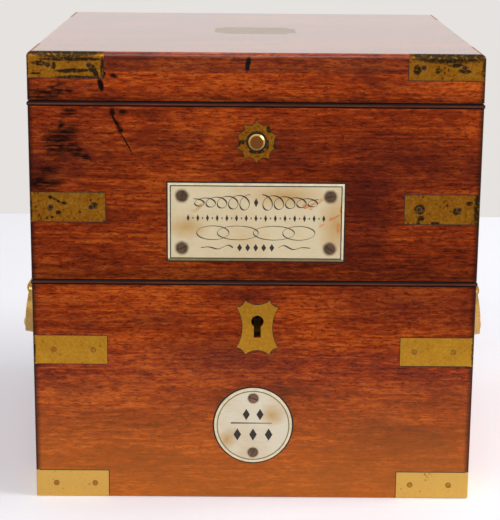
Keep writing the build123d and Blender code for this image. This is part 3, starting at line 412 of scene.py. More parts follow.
def worn_brass(name, ground, black, brown, roughness=0.42, marks=(), painted_shade=(), paler_below=0.0):
    """Brass, rolled or cast, its lacquer long gone: satin, browned in clouds, flecked with black tarnish.

    black and brown are shares of tarnish, marks are spots that it has eaten, and the spots after them are
    painted shade.
    Below a given height, in millimetres, the brass turns paler.
    """
    material, tree, place = new_material(name)
    # Clouds 4 to 8 mm across, and flecks of tarnish 0.5 to 2 mm across
    values = {"Scale": 130.0, "Detail": 5.0, "Roughness": 0.6}
    clouds = add(tree, "TexNoise", {"Vector": place}, values)
    values = {"Scale": 900.0, "Detail": 4.0, "Roughness": 0.6}
    flecks = add(tree, "TexNoise", {"Vector": place}, values)
    both = add(tree, "Math", {0: clouds, 2: flecks}, {1: 0.55}, operation="MULTIPLY_ADD")
    span = {"From Min": 0.62 - 0.3 * brown, "From Max": 1.0, "To Max": 0.35 + 0.65 * brown}
    browned = add(tree, "MapRange", {"Value": both}, span)
    colour = tinted(tree, paint(ground), browned, paint("brass_brown"))
    start = 0.98 - 0.13 * black
    span = {"From Min": start, "From Max": start + 0.05, "To Max": min(1.0, 0.5 + black)}
    blackened = add(tree, "MapRange", {"Value": both}, span)
    if marks:
        eaten = marked(tree, place, marks, core=0.8, ragged=0.9)
        span = {"From Min": 0.38, "From Max": 0.48, "To Min": 0.6}
        grainy = add(tree, "MapRange", {"Value": flecks}, span)
        spotted = add(tree, "Math", {0: eaten, 1: grainy}, operation="MULTIPLY")
        blackened = add(tree, "Math", {0: blackened, 1: spotted}, operation="MAXIMUM")
    if paler_below:
        height = add(tree, "SeparateXYZ", {"Vector": place}).outputs["Z"]
        span = {"From Min": (paler_below + 4.0) * MM, "From Max": paler_below * MM, "To Max": 0.65}
        rubbed = add(tree, "MapRange", {"Value": height}, span)
        colour = tinted(tree, colour, rubbed, paint("brass_pale"))
    colour = tinted(tree, colour, blackened, paint("tarnish"))
    # Painted shade, darker spots where a hollow lies in shade
    if painted_shade:
        colour = tinted(tree, colour, marked(tree, place, painted_shade), paint("tarnish", 0.5))
    # Fine scratches of cleaning, 0.15 mm apart
    scratches = grain(tree, place, (500.0, 500.0, 6500.0), 2.0)
    raised = add(tree, "Bump", {"Height": scratches}, {"Strength": 0.2, "Distance": 0.00004})
    return finished(
        material, {"Metallic": 1.0, "Roughness": roughness}, {"Base Color": colour, "Normal": raised}
    )


def turned_metal(name, ground, roughness, spread=0.18, worn=(), worn_colour="brass"):
    """Metal, turned or filed, then polished: a clean soft shine, clouded where hands have dulled it."""
    material, tree, place = new_material(name)
    clouds = add(tree, "TexNoise", {"Vector": place}, {"Scale": 160.0, "Detail": 5.0})
    shades = [(0.35, paint(ground, 1.0 - spread)), (0.65, paint(ground))]
    colour = add(tree, "ValToRGB", {"Fac": clouds}, stops=shades)
    if worn:
        colour = tinted(tree, colour, marked(tree, place, worn, core=0.95, ragged=0.3), paint(worn_colour))
    # Tool marks 0.2 mm apart
    marks = add(tree, "TexNoise", {"Vector": place}, {"Scale": 5000.0, "Detail": 1.0})
    raised = add(tree, "Bump", {"Height": marks}, {"Strength": 0.08, "Distance": 0.00003})
    return finished(
        material, {"Metallic": 1.0, "Roughness": roughness}, {"Base Color": colour, "Normal": raised}
    )


def polished_bone(name, ground, halos, yellows=(), streaks=()):
    """Bone, sawn and polished: creamy, faintly clouded, yellowed in the pores, browned round the screws."""
    material, tree, place = new_material(name)
    clouds = add(tree, "TexNoise", {"Vector": place}, {"Scale": 70.0, "Detail": 4.0})
    # Pores about 0.4 mm wide and 3 mm long
    pores = grain(tree, place, (330.0, 330.0, 2600.0), 2.0)
    both = add(tree, "Math", {0: pores, 2: clouds}, {1: 0.4}, operation="MULTIPLY_ADD")
    span = {"From Min": 0.62, "From Max": 0.98, "To Max": 0.4}
    yellowed = add(tree, "MapRange", {"Value": both}, span)
    colour = tinted(tree, paint(ground), yellowed, paint("bone_stain"))
    if yellows:
        colour = tinted(tree, colour, marked(tree, place, yellows, core=0.0), paint("bone_stain"))
    browned = marked(tree, place, halos, core=0.72, ragged=0.8)
    colour = tinted(tree, colour, browned, paint("bone_browned"))
    if streaks:
        span = {"From Min": 0.36, "From Max": 0.5, "To Min": 0.45}
        patchy = add(tree, "MapRange", {"Value": clouds}, span)
        rusted = marked(tree, place, streaks)
        run = add(tree, "Math", {0: rusted, 1: patchy}, operation="MULTIPLY")
        colour = tinted(tree, colour, run, paint("rust"))
    values = {"Roughness": 0.32, "IOR": 1.54, "Subsurface Weight": 0.08, "Subsurface Scale": 0.001}
    return finished(material, values, {"Base Color": colour})


def plain_finish(name, ground, roughness):
    """A filled or painted surface, with a faint unevenness so that it doesn't look printed."""
    material, tree, place = new_material(name)
    uneven = add(tree, "TexNoise", {"Vector": place}, {"Scale": 400.0, "Detail": 3.0})
    shades = [(0.3, paint(ground, 0.8)), (0.7, paint(ground, 1.1))]
    colour = add(tree, "ValToRGB", {"Fac": uneven}, stops=shades)
    return finished(material, {"Roughness": roughness}, {"Base Color": colour})


def clear_plate_glass():
    """Plate glass, polished: nearly invisible, with a thin pale reflection that strengthens at a glance."""
    material, tree, place = new_material("clear_plate_glass")
    smears = add(tree, "TexNoise", {"Vector": place}, {"Scale": 60.0, "Detail": 3.0})
    raised = add(tree, "Bump", {"Height": smears}, {"Strength": 0.02, "Distance": 0.0001})
    values = {"Base Color": (0.93, 0.97, 0.95, 1.0), "Roughness": 0.03, "IOR": 1.52, "Alpha": 0.16}
    return finished(material, values, {"Normal": raised})


# Pieces


def new_object(name, build, material, *data):
    """Makes an object from a function that fills a bmesh from data."""
    mesh = bpy.data.meshes.new(name)
    work = bmesh.new()
    build(work, *data)
    bmesh.ops.recalc_face_normals(work, faces=work.faces)
    work.to_mesh(mesh)
    work.free()
    mesh.materials.append(material)
    made = bpy.data.objects.new(name, mesh)
    bpy.context.scene.collection.objects.link(made)
    return made


def piece(name, build, material, body, slot, *data):
    """Makes a piece from a function and its data, and puts it on its body. Its slot is not used."""
    made = new_object(name, build, material, *data)
    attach(made, body)


def facing(outward, middle, turn=0.0):
    """Places a shape that is drawn in XY and rises along Z, so that it rises along outward from middle."""
    out = Vector(outward).normalized()
    up = Vector((0.0, 0.0, 1.0)) if abs(out.z) < 0.9 else Vector((0.0, 1.0, 0.0))
    across = up.cross(out).normalized()
    basis = Matrix((across, out.cross(across), out)).transposed().to_4x4()
    return Matrix.Translation(Vector(middle)) @ basis @ Matrix.Rotation(turn, 4, "Z")


def spin(work, place, rings, segments):
    """Loops of points, from rings of radius and height."""
    loops = []
    for radius, height in rings:
        loop = []
        for step in range(segments):
            angle = 2 * math.pi * step / segments
            point = Vector((radius * math.cos(angle), radius * math.sin(angle), height))
            loop.append(work.verts.new(place @ point))
        loops.append(loop)
    return loops


def bridge(work, loops):
    """Joins each closed loop of points to the next with faces."""
    for low, high in zip(loops, loops[1:]):
        for step in range(len(low)):
            after = (step + 1) % len(low)
            work.faces.new((low[step], low[after], high[after], high[step]))


def add_disc(work, place, rings, segments=32):
    """A solid of revolution from rings of radius and height, closed at both ends."""
    loops = spin(work, place, rings, segments)
    bridge(work, loops)
    work.faces.new(loops[0])
    work.faces.new(loops[-1])


def add_ring(work, place, inner, outer, segments=96):
    """A flat ring that stands proud by the engraving's height."""
    height = sizes().line_height
    loops = spin(work, place, ((inner, 0.0), (inner, height), (outer, height), (outer, 0.0)), segments)
    bridge(work, loops + loops[:1])


def add_screw(work, place, radius, height, slot_width):
    """A screw head in two domed halves with a slot between them, over a lower disc."""
    add_disc(work, place, [(radius * 0.98, 0.0), (radius * 0.98, height * 0.35)])
    steps = 14
    lean = math.asin(slot_width / 2 / radius)
    for side in (0.0, math.pi):
        edge = math.copysign(slot_width / 2, math.sin(side + math.pi / 2))
        loops = []
        for share, level in ((1.0, 0.0), (1.0, height * 0.7), (0.8, height)):
            loop = []
            for step in range(steps + 1):
                angle = side + lean + (math.pi - 2 * lean) * step / steps
                x = radius * share * math.cos(angle)
                y = radius * share * math.sin(angle)
                y = edge if abs(y) < slot_width / 2 else y
                loop.append(work.verts.new(place @ Vector((x, y, level))))
            loops.append(loop)
        bridge(work, loops)
        work.faces.new(loops[-1])


def add_screws(work, spots, height):
    """Slotted heads at spots, which are a way out and a place in millimetres, each turned at random."""
    for out, middle in spots:
        place = facing(out, Vector(middle) * MM, random.uniform(0, math.pi))
        add_screw(work, place, sizes().screw_radius, height * MM, 0.5 * MM)


def add_line(work, place, points, widths):
    """A flat strip along points in the plane of place, as wide as widths say."""
    height = sizes().line_height
    last = len(points) - 1
    left, right = [], []
    for index, point in enumerate(points):
        along = Vector(points[min(last, index + 1)]) - Vector(points[max(0, index - 1)])
        along.normalize()
        side = Vector((-along.y, along.x)) * widths[index] / 2
        for bank, shift in ((left, side), (right, -side)):
            x, y = Vector(point) + shift
            bank.append([work.verts.new(place @ Vector((x, y, level))) for level in (0.0, height)])
    for index in range(last):
        after = index + 1
        work.faces.new((left[index][1], left[after][1], right[after][1], right[index][1]))
        work.faces.new((left[index][0], left[after][0], left[after][1], left[index][1]))
        work.faces.new((right[index][1], right[after][1], right[after][0], right[index][0]))
    for index in (0, last):
        work.faces.new((left[index][0], left[index][1], right[index][1], right[index][0]))


def add_frame(work, place, half_x, half_z, width, parts="blrt"):
    """Strips along the bottom, left, right and top of a rectangle."""
    ends = {
        "b": ((-half_x, -half_z), (half_x, -half_z)),
        "r": ((half_x, -half_z), (half_x, half_z)),
        "t": ((half_x, half_z), (-half_x, half_z)),
        "l": ((-half_x, half_z), (-half_x, -half_z)),
    }
    for part in parts:
        start, end = (Vector(point) for point in ends[part])
        # The level strips run to the corners and the upright ones stop short, so none overlap
        reach = (end - start).normalized() * (width / 2 if part in "bt" else -width / 2)
        add_line(work, place, [start - reach, end + reach], [width] * 2)


def let_in(node, board):
    """Half sizes of a plate that is let into the front, and the places on its face and on its board."""
    low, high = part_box(node)
    place = facing((0, -1, 0), ((low.x + high.x) / 2, low.y, (low.z + high.z) / 2))
    return (high - low) / 2, place, Matrix.Translation((0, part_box(board)[0].y - low.y, 0)) @ place


def add_lozenge(work, place, x, y, half_x, half_y):
    """A small filled diamond, in millimetres."""
    corners = [(x - half_x, y), (x, y - half_y), (x + half_x, y), (x, y + half_y)]
    loops = []
    for level in (0.0, sizes().line_height):
        loops.append([work.verts.new(place @ Vector((a * MM, b * MM, level))) for a, b in corners])
    work.faces.new(loops[1])
    bridge(work, loops)


def add_seat_shadow(work, node):
    """A flat copy of a fitting on the front, grown all round, that shows as the dark line of its seat: a
    dark joint and painted shadow.
    """
    grow = sizes().grime_width
    low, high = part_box(node)
    middle = (low + high) / 2
    work.from_mesh(nodes[node].data)
    board_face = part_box("base_front_board")[0].y
    for vertex in work.verts:
        outer = vertex.co.y < middle.y
        vertex.co.x = middle.x + (vertex.co.x - middle.x) * (1 + 2 * grow / (high.x - low.x))
        vertex.co.z = middle.z + (vertex.co.z - middle.z) * (1 + 2 * grow / (high.z - low.z))
        vertex.co.y = board_face + (-0.03 * MM if outer else 0.03 * MM)


# Operators


class CHRONOMETER_OT_boards(bpy.types.Operator):
    """Dress the mahogany boards, rails, panel and beading"""

    bl_idname = "chronometer.boards"
    bl_label = "Mahogany boards"

    def execute(self, context):
        # Painted light and shade by height: paler towards the foot for the reflected floor, darker on both
        # sides of the bead at 93 to 97 mm and under the lid's lower edge at 170 mm
        base_tones = [(0, 1.15), (20, 1.1), (50, 1.0), (91, 1.0), (93, 0.82)]
        middle_tones = [(97, 0.48), (104, 0.84), (135, 0.86), (150, 0.88), (162, 1.0), (169, 1.0)]
        lid_tones = [(169.8, 0.4), (171.2, 0.8), (174, 1.04), (TALLEST, 1.04)]
        tones = base_tones + middle_tones + lid_tones
        shades = [
            (9.0, 150.0, 22.0, 12.0), (46.0, 128.0, 14.0, 24.0), (70.0, 145.0, 34.0, 12.0, 8.0),
            (-76.0, 150.0, 18.0, 18.0), (-88.0, 142.0, 14.0, 16.0), (64.0, 86.0, 44.0, 14.0),
            (-12.0, 63.0, 34.0, 12.0, 4.0), (-2.0, 89.0, 18.0, 7.0), (86.0, 84.0, 20.0, 16.0),
            (-40.0, 78.0, 20.0, 5.0, -5.0),
        ]
        stains = [
            (-75.1, 164.8, 4.0, 1.8), (-78.7, 158.7, 1.8, 4.0, 10.0), (-80.5, 152.0, 6.5, 7.5),
            (-76.0, 156.5, 6.0, 4.0, -20.0), (-73.4, 149.6, 6.0, 3.4, 30.0),
            (-68.8, 146.2, 2.6, 2.0, 30.0), (-58.0, 164.8, 1.7, 1.9), (-53.6, 164.9, 2.1, 1.5),
            (-55.2, 158.6, 1.6, 2.6, -20.0), (-85.5, 171.9, 8.0, 3.6, 4.0),
            (-79.8, 174.0, 5.0, 3.4), (-75.6, 173.6, 2.6, 2.0, 30.0), (-57.1, 179.3, 1.8, 1.1),
            (-86.0, 135.5, 9.0, 4.0), (-84.0, 141.0, 6.0, 2.0),
        ]
        scratches = [
            (-56.6, 161.3, 0.5, 3.6, -28.0), (-52.3, 152.4, 0.32, 5.4, -31.0),
            (-62.4, 175.8, 1.2, 3.0, -18.0), (-60.6, 182.4, 0.5, 4.2), (30.0, 108.0, 0.5, 0.5),
        ]
        # A dent in the lid's front edge shows on its front and on its top
        dent = on_front([(-3.4, 184.6, 1.2, 3.4, 8.0)], behind=1.0, reach=5.0)
        front = french_polished_mahogany(
            "french_polished_mahogany_front",
            0.0,
            tones,
            "X",
            on_front(shades, reach=9.0),
            on_front(stains, reach=6.0),
            on_front(scratches, reach=4.0) + dent,
        )
        along_x = french_polished_mahogany("french_polished_mahogany_long", 0.0, tones, "X")
        along_y = french_polished_mahogany("french_polished_mahogany_cross", math.pi / 2, tones, "Y")
        lid_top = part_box("lid_panel")[1].z / MM
        # A lighter copy of the mahogany: its colour's share of 1.4 is painted light on the flat top, whose
        # edges are painted darker, as shade
        top = french_polished_mahogany(
            "french_polished_mahogany_top",
            0.0,
            [(0, 1.4), (TALLEST, 1.4)],
            scratches=dent,
            polish=KEPT_POLISH,
            flat_top=lid_top,
        )
        dress(["base_front_board", "middle_front_board", "lid_front_rail"], front)
        dress(["base_back_board", "middle_back_board", "lid_back_rail", "base_floor", "key_block"], along_x)
        for side in ("left", "right"):
            dress([f"base_{side}_board", f"middle_{side}_board", f"lid_{side}_rail"], along_y)
        dress(["glass_beading"], along_y)
        dress(["lid_panel"], top)
        return {"FINISHED"}


class CHRONOMETER_OT_beads(bpy.types.Operator):
    """Dress the ebony beads"""

    bl_idname = "chronometer.beads"
    bl_label = "Ebony beads"

    def execute(self, context):
        for name in ("base_bead", "middle_bead"):
            low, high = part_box(name)
            dress([name], polished_ebony(f"polished_ebony_{name}", low.z, high.z))
        return {"FINISHED"}


class CHRONOMETER_OT_straps(bpy.types.Operator):
    """Dress the corner straps and add their flush pins and the dark lines of their seats"""

    bl_idname = "chronometer.straps"
    bl_label = "Corner straps and pins"

    def execute(self, context):
        base_marks = [(-92.2, 65.0, 1.3, 9.0), (92.2, 65.0, 1.3, 9.0)]
        middle_marks = [
            (67.3, 125.7, 2.2, 2.2), (82.5, 125.0, 1.8, 1.6), (67.9, 122.0, 1.5, 1.2),
            (66.9, 120.4, 0.9, 1.0), (73.7, 119.9, 1.8, 0.8), (87.5, 128.3, 1.4, 0.9),
            (91.9, 125.5, 2.5, 9.0), (-92.2, 125.5, 1.3, 9.0), (-83.5, 129.8, 1.0, 0.8),
            (-81.0, 128.5, 2.4, 0.55, 28.0), (-77.8, 127.3, 1.1, 0.8), (-83.6, 125.0, 1.0, 1.0),
            (-80.4, 123.4, 1.1, 0.9), (-83.0, 121.5, 0.7, 0.6), (-85.0, 121.1, 0.5, 0.5),
            (-65.6, 126.4, 1.5, 1.4), (-67.1, 128.7, 0.45, 0.45), (-67.2, 125.4, 0.45, 0.45),
            (-71.6, 123.7, 0.6, 0.4),
        ]
        lid_marks = [
            (64.3, 182.8, 1.7, 2.1), (72.7, 182.4, 1.1, 1.1), (83.5, 182.3, 2.6, 0.9),
            (79.5, 184.6, 3.0, 0.8), (-73.6, 181.4, 7.2, 0.9, -2.0), (-65.8, 182.4, 1.6, 1.6),
            (-64.4, 180.4, 1.0, 3.4, -25.0), (-72.0, 178.7, 9.0, 0.8), (-81.0, 183.4, 1.1, 1.5),
            (-86.0, 184.2, 4.2, 0.9, 4.0), (-74.0, 186.0, 13.0, 0.8), (-88.5, 180.2, 2.6, 0.5),
            (-61.6, 182.4, 0.9, 4.6),
        ]
        # The eased top edges and the upright ends of the lid straps are darker
        lid_edges = [
            (-77.0, 188.7, 17.0, 2.2), (77.0, 188.2, 17.0, 3.0), (-92.3, 184.0, 1.1, 7.0),
            (92.2, 184.0, 1.6, 7.0),
        ]
        lid_spots = on_front(lid_marks, reach=4.0) + on_front(lid_edges, behind=0.5)
        # Share of black, share of brown, marks, and the height below which the straps are paler
        wear = {
            "base": (0.15, 0.12, on_front(base_marks), 12.0),
            "middle": (0.5, 0.95, on_front(middle_marks), 0.0),
            "lid": (0.6, 0.95, lid_spots, 0.0),
        }
        for body, (black, brown, marks, rubbed) in wear.items():
            name = f"rolled_brass_{body}_straps"
            metal = worn_brass(name, "brass", black, brown, marks=marks, paler_below=rubbed)
            dress([f"{body}_corner_straps"], metal)

        clean = worn_brass("filed_brass_pins", "brass", 0.5, 0.8)
        tarnished = worn_brass("tarnished_brass_pins", "tarnish", 0.5, 0.2)
        gap = plain_finish("browned_pin_rims", "bone_browned", 0.6)
        grime = plain_finish("old_polish_in_strap_joints", "grime", 0.7)
        size = sizes()
        radius = size.pin_radius
        # Lower and upper edges of the straps of each tier, in millimetres
        tiers = (
            ("base", clean, ((0.0, 11.6), (58.7, 71.2))),
            ("middle", tarnished, ((119.5, 131.9),)),
            ("lid", tarnished, ((178.4, 189.0),)),
        )
        for body, metal, bands in tiers:
            low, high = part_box(f"{body}_corner_straps")
            sides = [
                (facing((0, -1, 0), (0, low.y, 0)), high.x),
                (facing((0, 1, 0), (0, high.y, 0)), high.x),
                (facing((-1, 0, 0), (low.x, 0, 0)), high.y),
                (facing((1, 0, 0), (high.x, 0, 0)), high.y),
            ]
            places = []
            for bottom, top in bands:
                for side, half in sides:
                    for inset in (size.pin_inset, size.pin_inset + size.pin_spacing):
                        for x in (inset - half, half - inset):
                            places.append(side @ Matrix.Translation((x, (bottom + top) / 2 * MM, 0)))
            piece(f"{body}_strap_pins", self.heads, metal, body, "binding_brass", places, radius)
            piece(f"{body}_strap_pin_rims", self.rims, gap, body, "binding_brass", places, radius)
            piece(f"{body}_strap_joints", self.joints, grime, body, "binding_brass", bands, sides)
        return {"FINISHED"}

    @staticmethod
    def heads(work, places, radius):
        for place in places:
            crown = [(radius, -0.2 * MM), (radius * 0.95, 0.05 * MM), (radius * 0.6, 0.1 * MM)]
            add_disc(work, place, crown, 20)

    @staticmethod
    def rims(work, places, radius):
        for place in places:
            add_ring(work, place, radius, radius + 0.25 * MM, 20)

    @staticmethod
    def joints(work, bands, sides):
        # The lines stop short of the corner and of the lid's eased top edge
        corner_gap = 1.5 * MM
        highest = 186.4 * MM
        for bottom, top in ((bottom * MM, top * MM) for bottom, top in bands):
            for side, half in sides:
                for mirror in (-1, 1):
                    outer = mirror * (half - corner_gap)
                    inner = mirror * (half - sizes().strap_length)
                    edges = [((inner, bottom), (inner, top))]
                    if bottom > 0:
                        edges.append(((inner, bottom), (outer, bottom)))
                    if top < highest:
                        edges.append(((inner, top), (outer, top)))
                    for start, (x, z) in edges:
                        add_line(work, side, [start, (x, min(z, highest))], [sizes().grime_width] * 2)


class CHRONOMETER_OT_inlays(bpy.types.Operator):
    """Dress the keyhole escutcheon, the star round the button, the button and the cartouche"""

    bl_idname = "chronometer.inlays"
    bl_label = "Escutcheons, button and cartouche"

    def execute(self, context):
        star_marks = [
            (-7.6, 152.5, 1.6, 1.6), (8.4, 151.5, 1.4, 1.4), (5.6, 158.5, 1.5, 1.5),
            (0.4, 149.3, 3.4, 1.0), (-5.5, 153.0, 1.4, 0.9), (4.6, 152.0, 0.9, 2.2),
        ]
        spots = on_front(star_marks, "star_escutcheon")
        star = worn_brass("sawn_brass_star", "brass", 0.45, 1.0, marks=spots)
        dress(["keyhole_escutcheon"], worn_brass("sawn_brass_escutcheon", "brass", 0.1, 0.25))
        dress(["star_escutcheon"], star)
        dress(["lid_cartouche"], worn_brass("sawn_brass_cartouche", "cartouche", 0.1, 0.1, roughness=0.3))
        # The button's axis; its node also holds the rod and the tongue behind it
        button_x, button_z = 0.4, 153.3
        worn_end = on_front([(button_x, button_z, 2.6, 2.6)], "push_button", reach=2.0)
        button = turned_metal("hand_polished_brass_button", "brass_pale", 0.3, 0.1, worn_end, "button_end")
        dress(["push_button"], button)

        grime = plain_finish("old_polish_in_inlay_joints", "grime", 0.7)
        # Dark joint lines round the escutcheons, which are also painted shadow
        piece("keyhole_escutcheon_joint", add_seat_shadow, grime, "base", "ebony", "keyhole_escutcheon")
        piece("star_escutcheon_joint", add_seat_shadow, grime, "middle", "ebony", "star_escutcheon")
        # Painted shade in the gap round the proud button
        star_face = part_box("star_escutcheon")[0].y
        place = facing((0, -1, 0), (button_x * MM, star_face, button_z * MM))
        piece("button_grime_ring", add_ring, grime, "middle", "ebony", place, 3.6 * MM, 4.3 * MM, 48)
        return {"FINISHED"}


class CHRONOMETER_OT_name_plate(bpy.types.Operator):
    """Dress the bone name plate and add its rim, border and penman's flourish"""

    bl_idname = "chronometer.name_plate"
    bl_label = "Name plate"

    def execute(self, context):
        size = sizes()
        halos = [(x, z, 2.9, 2.9) for x in (-29.9, 30.7) for z in (109.05, 130.85)]
        yellows = [
            (-22.5, 126.4, 4.4, 0.9, -37.0), (33.0, 119.0, 7.0, 13.0), (12.0, 131.0, 16.0, 5.0),
            (-28.0, 118.0, 9.0, 5.0),
        ]
        streaks = [
            (25.1, 128.4, 3.4, 0.7, -28.0), (20.6, 126.8, 1.4, 1.1), (22.6, 125.8, 1.0, 0.6),
            (32.6, 122.2, 3.0, 0.6, -30.0), (27.2, 118.9, 1.5, 0.6, -20.0),
            (35.6, 122.0, 0.75, 8.0), (34.2, 117.8, 0.8, 2.6),
        ]
        spots = [on_front(rows, "name_plate") for rows in (halos, yellows, streaks)]
        dress(["name_plate"], polished_bone("polished_bone_name_plate", "bone", *spots))
        ink = plain_finish("ink_filled_engraving", "ink", 0.6)
        # Painted highlight on the rim's top and sides, painted shade on its lower side
        bright = plain_finish("scraped_bone_rim", "bone_rim", 0.4)
        dull = plain_finish("grimed_bone_rim", "bone_groove_and_rim_shade", 0.5)
        grime = plain_finish("old_polish_round_plate", "grime", 0.7)

        half, place, board = let_in("name_plate", "middle_front_board")
        rim = size.border_inset - size.border_width / 2
        joint = size.grime_width
        for name, material, slot, base, inset, width, parts in (
            ("border", ink, "bone", place, size.border_inset, size.border_width, "blrt"),
            ("rim", bright, "bone", place, rim / 2, rim, "lrt"),
            ("lower_rim", dull, "bone", place, rim / 2, rim, "b"),
            # The dark joint line round the plate is also painted shadow
            ("joint", grime, "ebony", board, -joint, 2 * joint, "blrt"),
        ):
            data = (base, half.x - inset, half.z - inset, width, parts)
            piece(f"name_plate_{name}", add_frame, material, "middle", slot, *data)
        piece("name_plate_flourish", self.flourish, ink, "middle", "bone", place)
        return {"FINISHED"}

    @staticmethod
    def flourish(work, place):
        """Pen loops, a row of lozenges, interlaced ovals and swelled rules, set out in millimetres."""

        def swash(steps, thin, thick, curve):
            points = [curve(step / steps) for step in range(steps + 1)]
            widths = []
            for index in range(steps + 1):
                slope = Vector(points[min(steps, index + 1)]) - Vector(points[max(0, index - 1)])
                slope.normalize()
                # A pen held at 45 degrees writes thick on one slant and thin on the other
                widths.append((thin + (thick - thin) * abs(slope.x * 0.7 - slope.y * 0.7) ** 3) * MM)
            add_line(work, place, [(x * MM, z * MM) for x, z in points], widths)

        turn = math.pi
        for side in (1, -1):
            # The row of loops runs out from the middle and dies away
            swash(
                240,
                0.15,
                0.6,
                lambda t: (
                    side * (2.4 + 23.0 * t + 3.0 * math.sin(10 * turn * t)),
                    8.3 + (3.3 - 1.9 * t) * math.cos(10 * turn * t),
                ),
            )
            for x, half in ((7.4, 8.4), (17.6, 6.6)):
                swash(
                    80,
                    0.13,
                    0.45,
                    lambda t: (
                        side * x + half * math.cos(2 * turn * t),
                        -4.4 + 2.9 * math.sin(2 * turn * t),
                    ),
                )
            swash(
                70,
                0.16,
                0.6,
                lambda t: (side * (9.4 + 13.0 * t), -10.6 + 1.2 * math.sin(3 * turn * t) * (1 - t)),
            )
        for step in range(-14, 15):
            half_x, half_z = (0.62, 1.45) if step % 2 == 0 else (0.34, 0.5)
            add_lozenge(work, place, step * 1.98, 1.75, half_x, half_z)
        for step in range(-2, 3):
            add_lozenge(work, place, step * 3.3, -10.6, 1.0, 1.6)
        add_lozenge(work, place, 0.0, 8.3, 0.9, 1.9)


class CHRONOMETER_OT_number_disc(bpy.types.Operator):
    """Dress the bone disc and add its rim, groove, bar and ornament"""

    bl_idname = "chronometer.number_disc"
    bl_label = "Number disc"

    def execute(self, context):
        halos = on_front([(0.0, 20.3, 2.4, 2.4), (0.0, 44.3, 2.4, 2.4)], "number_disc")
        yellows = on_front([(8.0, 37.0, 5.5, 4.5, 20.0), (-11.0, 26.0, 4.0, 6.0, 40.0)], "number_disc")
        dress(["number_disc"], polished_bone("polished_bone_disc", "bone_disc", halos, yellows))
        ink = plain_finish("ink_filled_disc_lines", "ink", 0.6)
        bright = plain_finish("turned_bone_rim", "bone_rim", 0.4)
        dull = plain_finish("grimed_disc_groove", "bone_groove_and_rim_shade", 0.6)
        grime = plain_finish("old_polish_round_disc", "grime", 0.7)

        half, place, board = let_in("number_disc", "base_front_board")
        for name, material, slot, base, inner, outer in (
            ("rim", bright, "bone", place, -1.0 * MM, -0.05 * MM),
            ("groove", dull, "bone", place, -1.5 * MM, -1.05 * MM),
            # The dark joint line round the disc is also painted shadow
            ("joint", grime, "ebony", board, -0.1 * MM, 2 * sizes().grime_width),
        ):
            data = (base, half.x + inner, half.x + outer)
            piece(f"number_disc_{name}", add_ring, material, "base", slot, *data)
        piece("number_disc_marks", self.marks, ink, "base", "bone", place)
        return {"FINISHED"}

    @staticmethod
    def marks(work, place):
        bar = [(-9.4 * MM, 1.1 * MM), (7.9 * MM, 1.1 * MM)]
        add_line(work, place, bar, [0.55 * MM, 0.25 * MM])
        for x in (-2.9, 2.9):
            add_lozenge(work, place, x, 4.9, 1.5, 2.5)
        for x in (-6.6, 0.0, 6.6):
            add_lozenge(work, place, x, -4.0, 1.6, 2.7)


class CHRONOMETER_OT_screws(bpy.types.Operator):
    """Dress the browned screws of the bone plates"""

    bl_idname = "chronometer.screws"
    bl_label = "Plate screws"

    def execute(self, context):
        browned = turned_metal("browned_steel_screws", "screw", 0.45, 0.55)
        dress(["name_plate_screws", "number_disc_screws"], browned)
        return {"FINISHED"}


class CHRONOMETER_OT_handles(bpy.types.Operator):
    """Dress the side handles and add the screws of their plates"""

    bl_idname = "chronometer.handles"
    bl_label = "Side handles"

    def execute(self, context):
        cast = worn_brass("cast_brass_handles", "brass_pale", 0.15, 0.15, roughness=0.34)
        screw_brass = turned_metal("turned_brass_screws", "brass", 0.35, 0.4)
        for side, out in (("left", -1), ("right", 1)):
            dress([f"{side}_handle_plate", f"{side}_handle_bail"], cast)
            spots = [((out, 0, 0), (out * 93.6, y, z)) for y in (-24.0, 24.0) for z in (73.2, 82.8)]
            random.seed(7)
            piece(f"{side}_handle_screws", add_screws, screw_brass, "base", "cast_brass", spots, 0.45)
        return {"FINISHED"}


class CHRONOMETER_OT_hinges(bpy.types.Operator):
    """Dress the butt hinges and add their screws"""

    bl_idname = "chronometer.hinges"
    bl_label = "Hinges"

    def execute(self, context):
        cast = worn_brass("cast_brass_hinges", "brass", 0.35, 0.6, roughness=0.38)
        dress(["base_hinge_pins", "lid_hinge_pins"], turned_metal("drawn_steel_pins", "steel", 0.35))
        screw_brass = turned_metal("turned_brass_hinge_screws", "brass", 0.35, 0.4)
        # Leaf, its body, the height of its face in millimetres and the way its face looks
        faces = (
            ("base_hinge_leaves", "base", 95.15, 1),
            ("middle_hinge_leaves", "middle", 95.45, -1),
            ("middle_lid_hinge_leaves", "middle", 169.15, 1),
            ("lid_hinge_leaves", "lid", 169.45, -1),
        )
        columns = [centre + shift for centre in (-55.0, 55.0) for shift in (-13.0, 0.0, 13.0)]
        random.seed(11)
        for node, body, level, out in faces:
            dress([node], cast)
            spots = [((0, 0, out), (x, 87.6, level)) for x in columns]
            piece(f"{node}_screws", add_screws, screw_brass, body, "cast_brass", spots, 0.06)
        return {"FINISHED"}


class CHRONOMETER_OT_lock(bpy.types.Operator):
    """Dress the lock, its link plate and the catch"""

    bl_idname = "chronometer.lock"
    bl_label = "Lock and catch"

    def execute(self, context):
        filed = worn_brass("filed_brass_lock", "brass", 0.2, 0.4)
        dress(["link_plate", "catch_case", "lid_striker"], filed)
        # Painted shade on the lock's face behind the keyhole, so that the keyhole shows dark
        low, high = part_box("keyhole_escutcheon")
        hole = ((low.x + high.x) / 2 / MM, -88.0, (low.z + high.z) / 2 / MM)
        painted_shade = [(hole, (9.0, 7.0, 10.0), 0.0)]
        dress(["lock_case"], worn_brass("filed_brass_oiled_lock", "brass", 0.2, 0.4, painted_shade=painted_shade))
        dress(["lock_bolt"], turned_metal("filed_steel_bolt", "steel", 0.32))
        return {"FINISHED"}


class CHRONOMETER_OT_glass(bpy.types.Operator):
    """Dress the glass pane and the glass of the bowl"""

    bl_idname = "chronometer.glass"
    bl_label = "Glass"

    def execute(self, context):
        dress(["glass_pane", "bowl_glass"], clear_plate_glass())
        return {"FINISHED"}


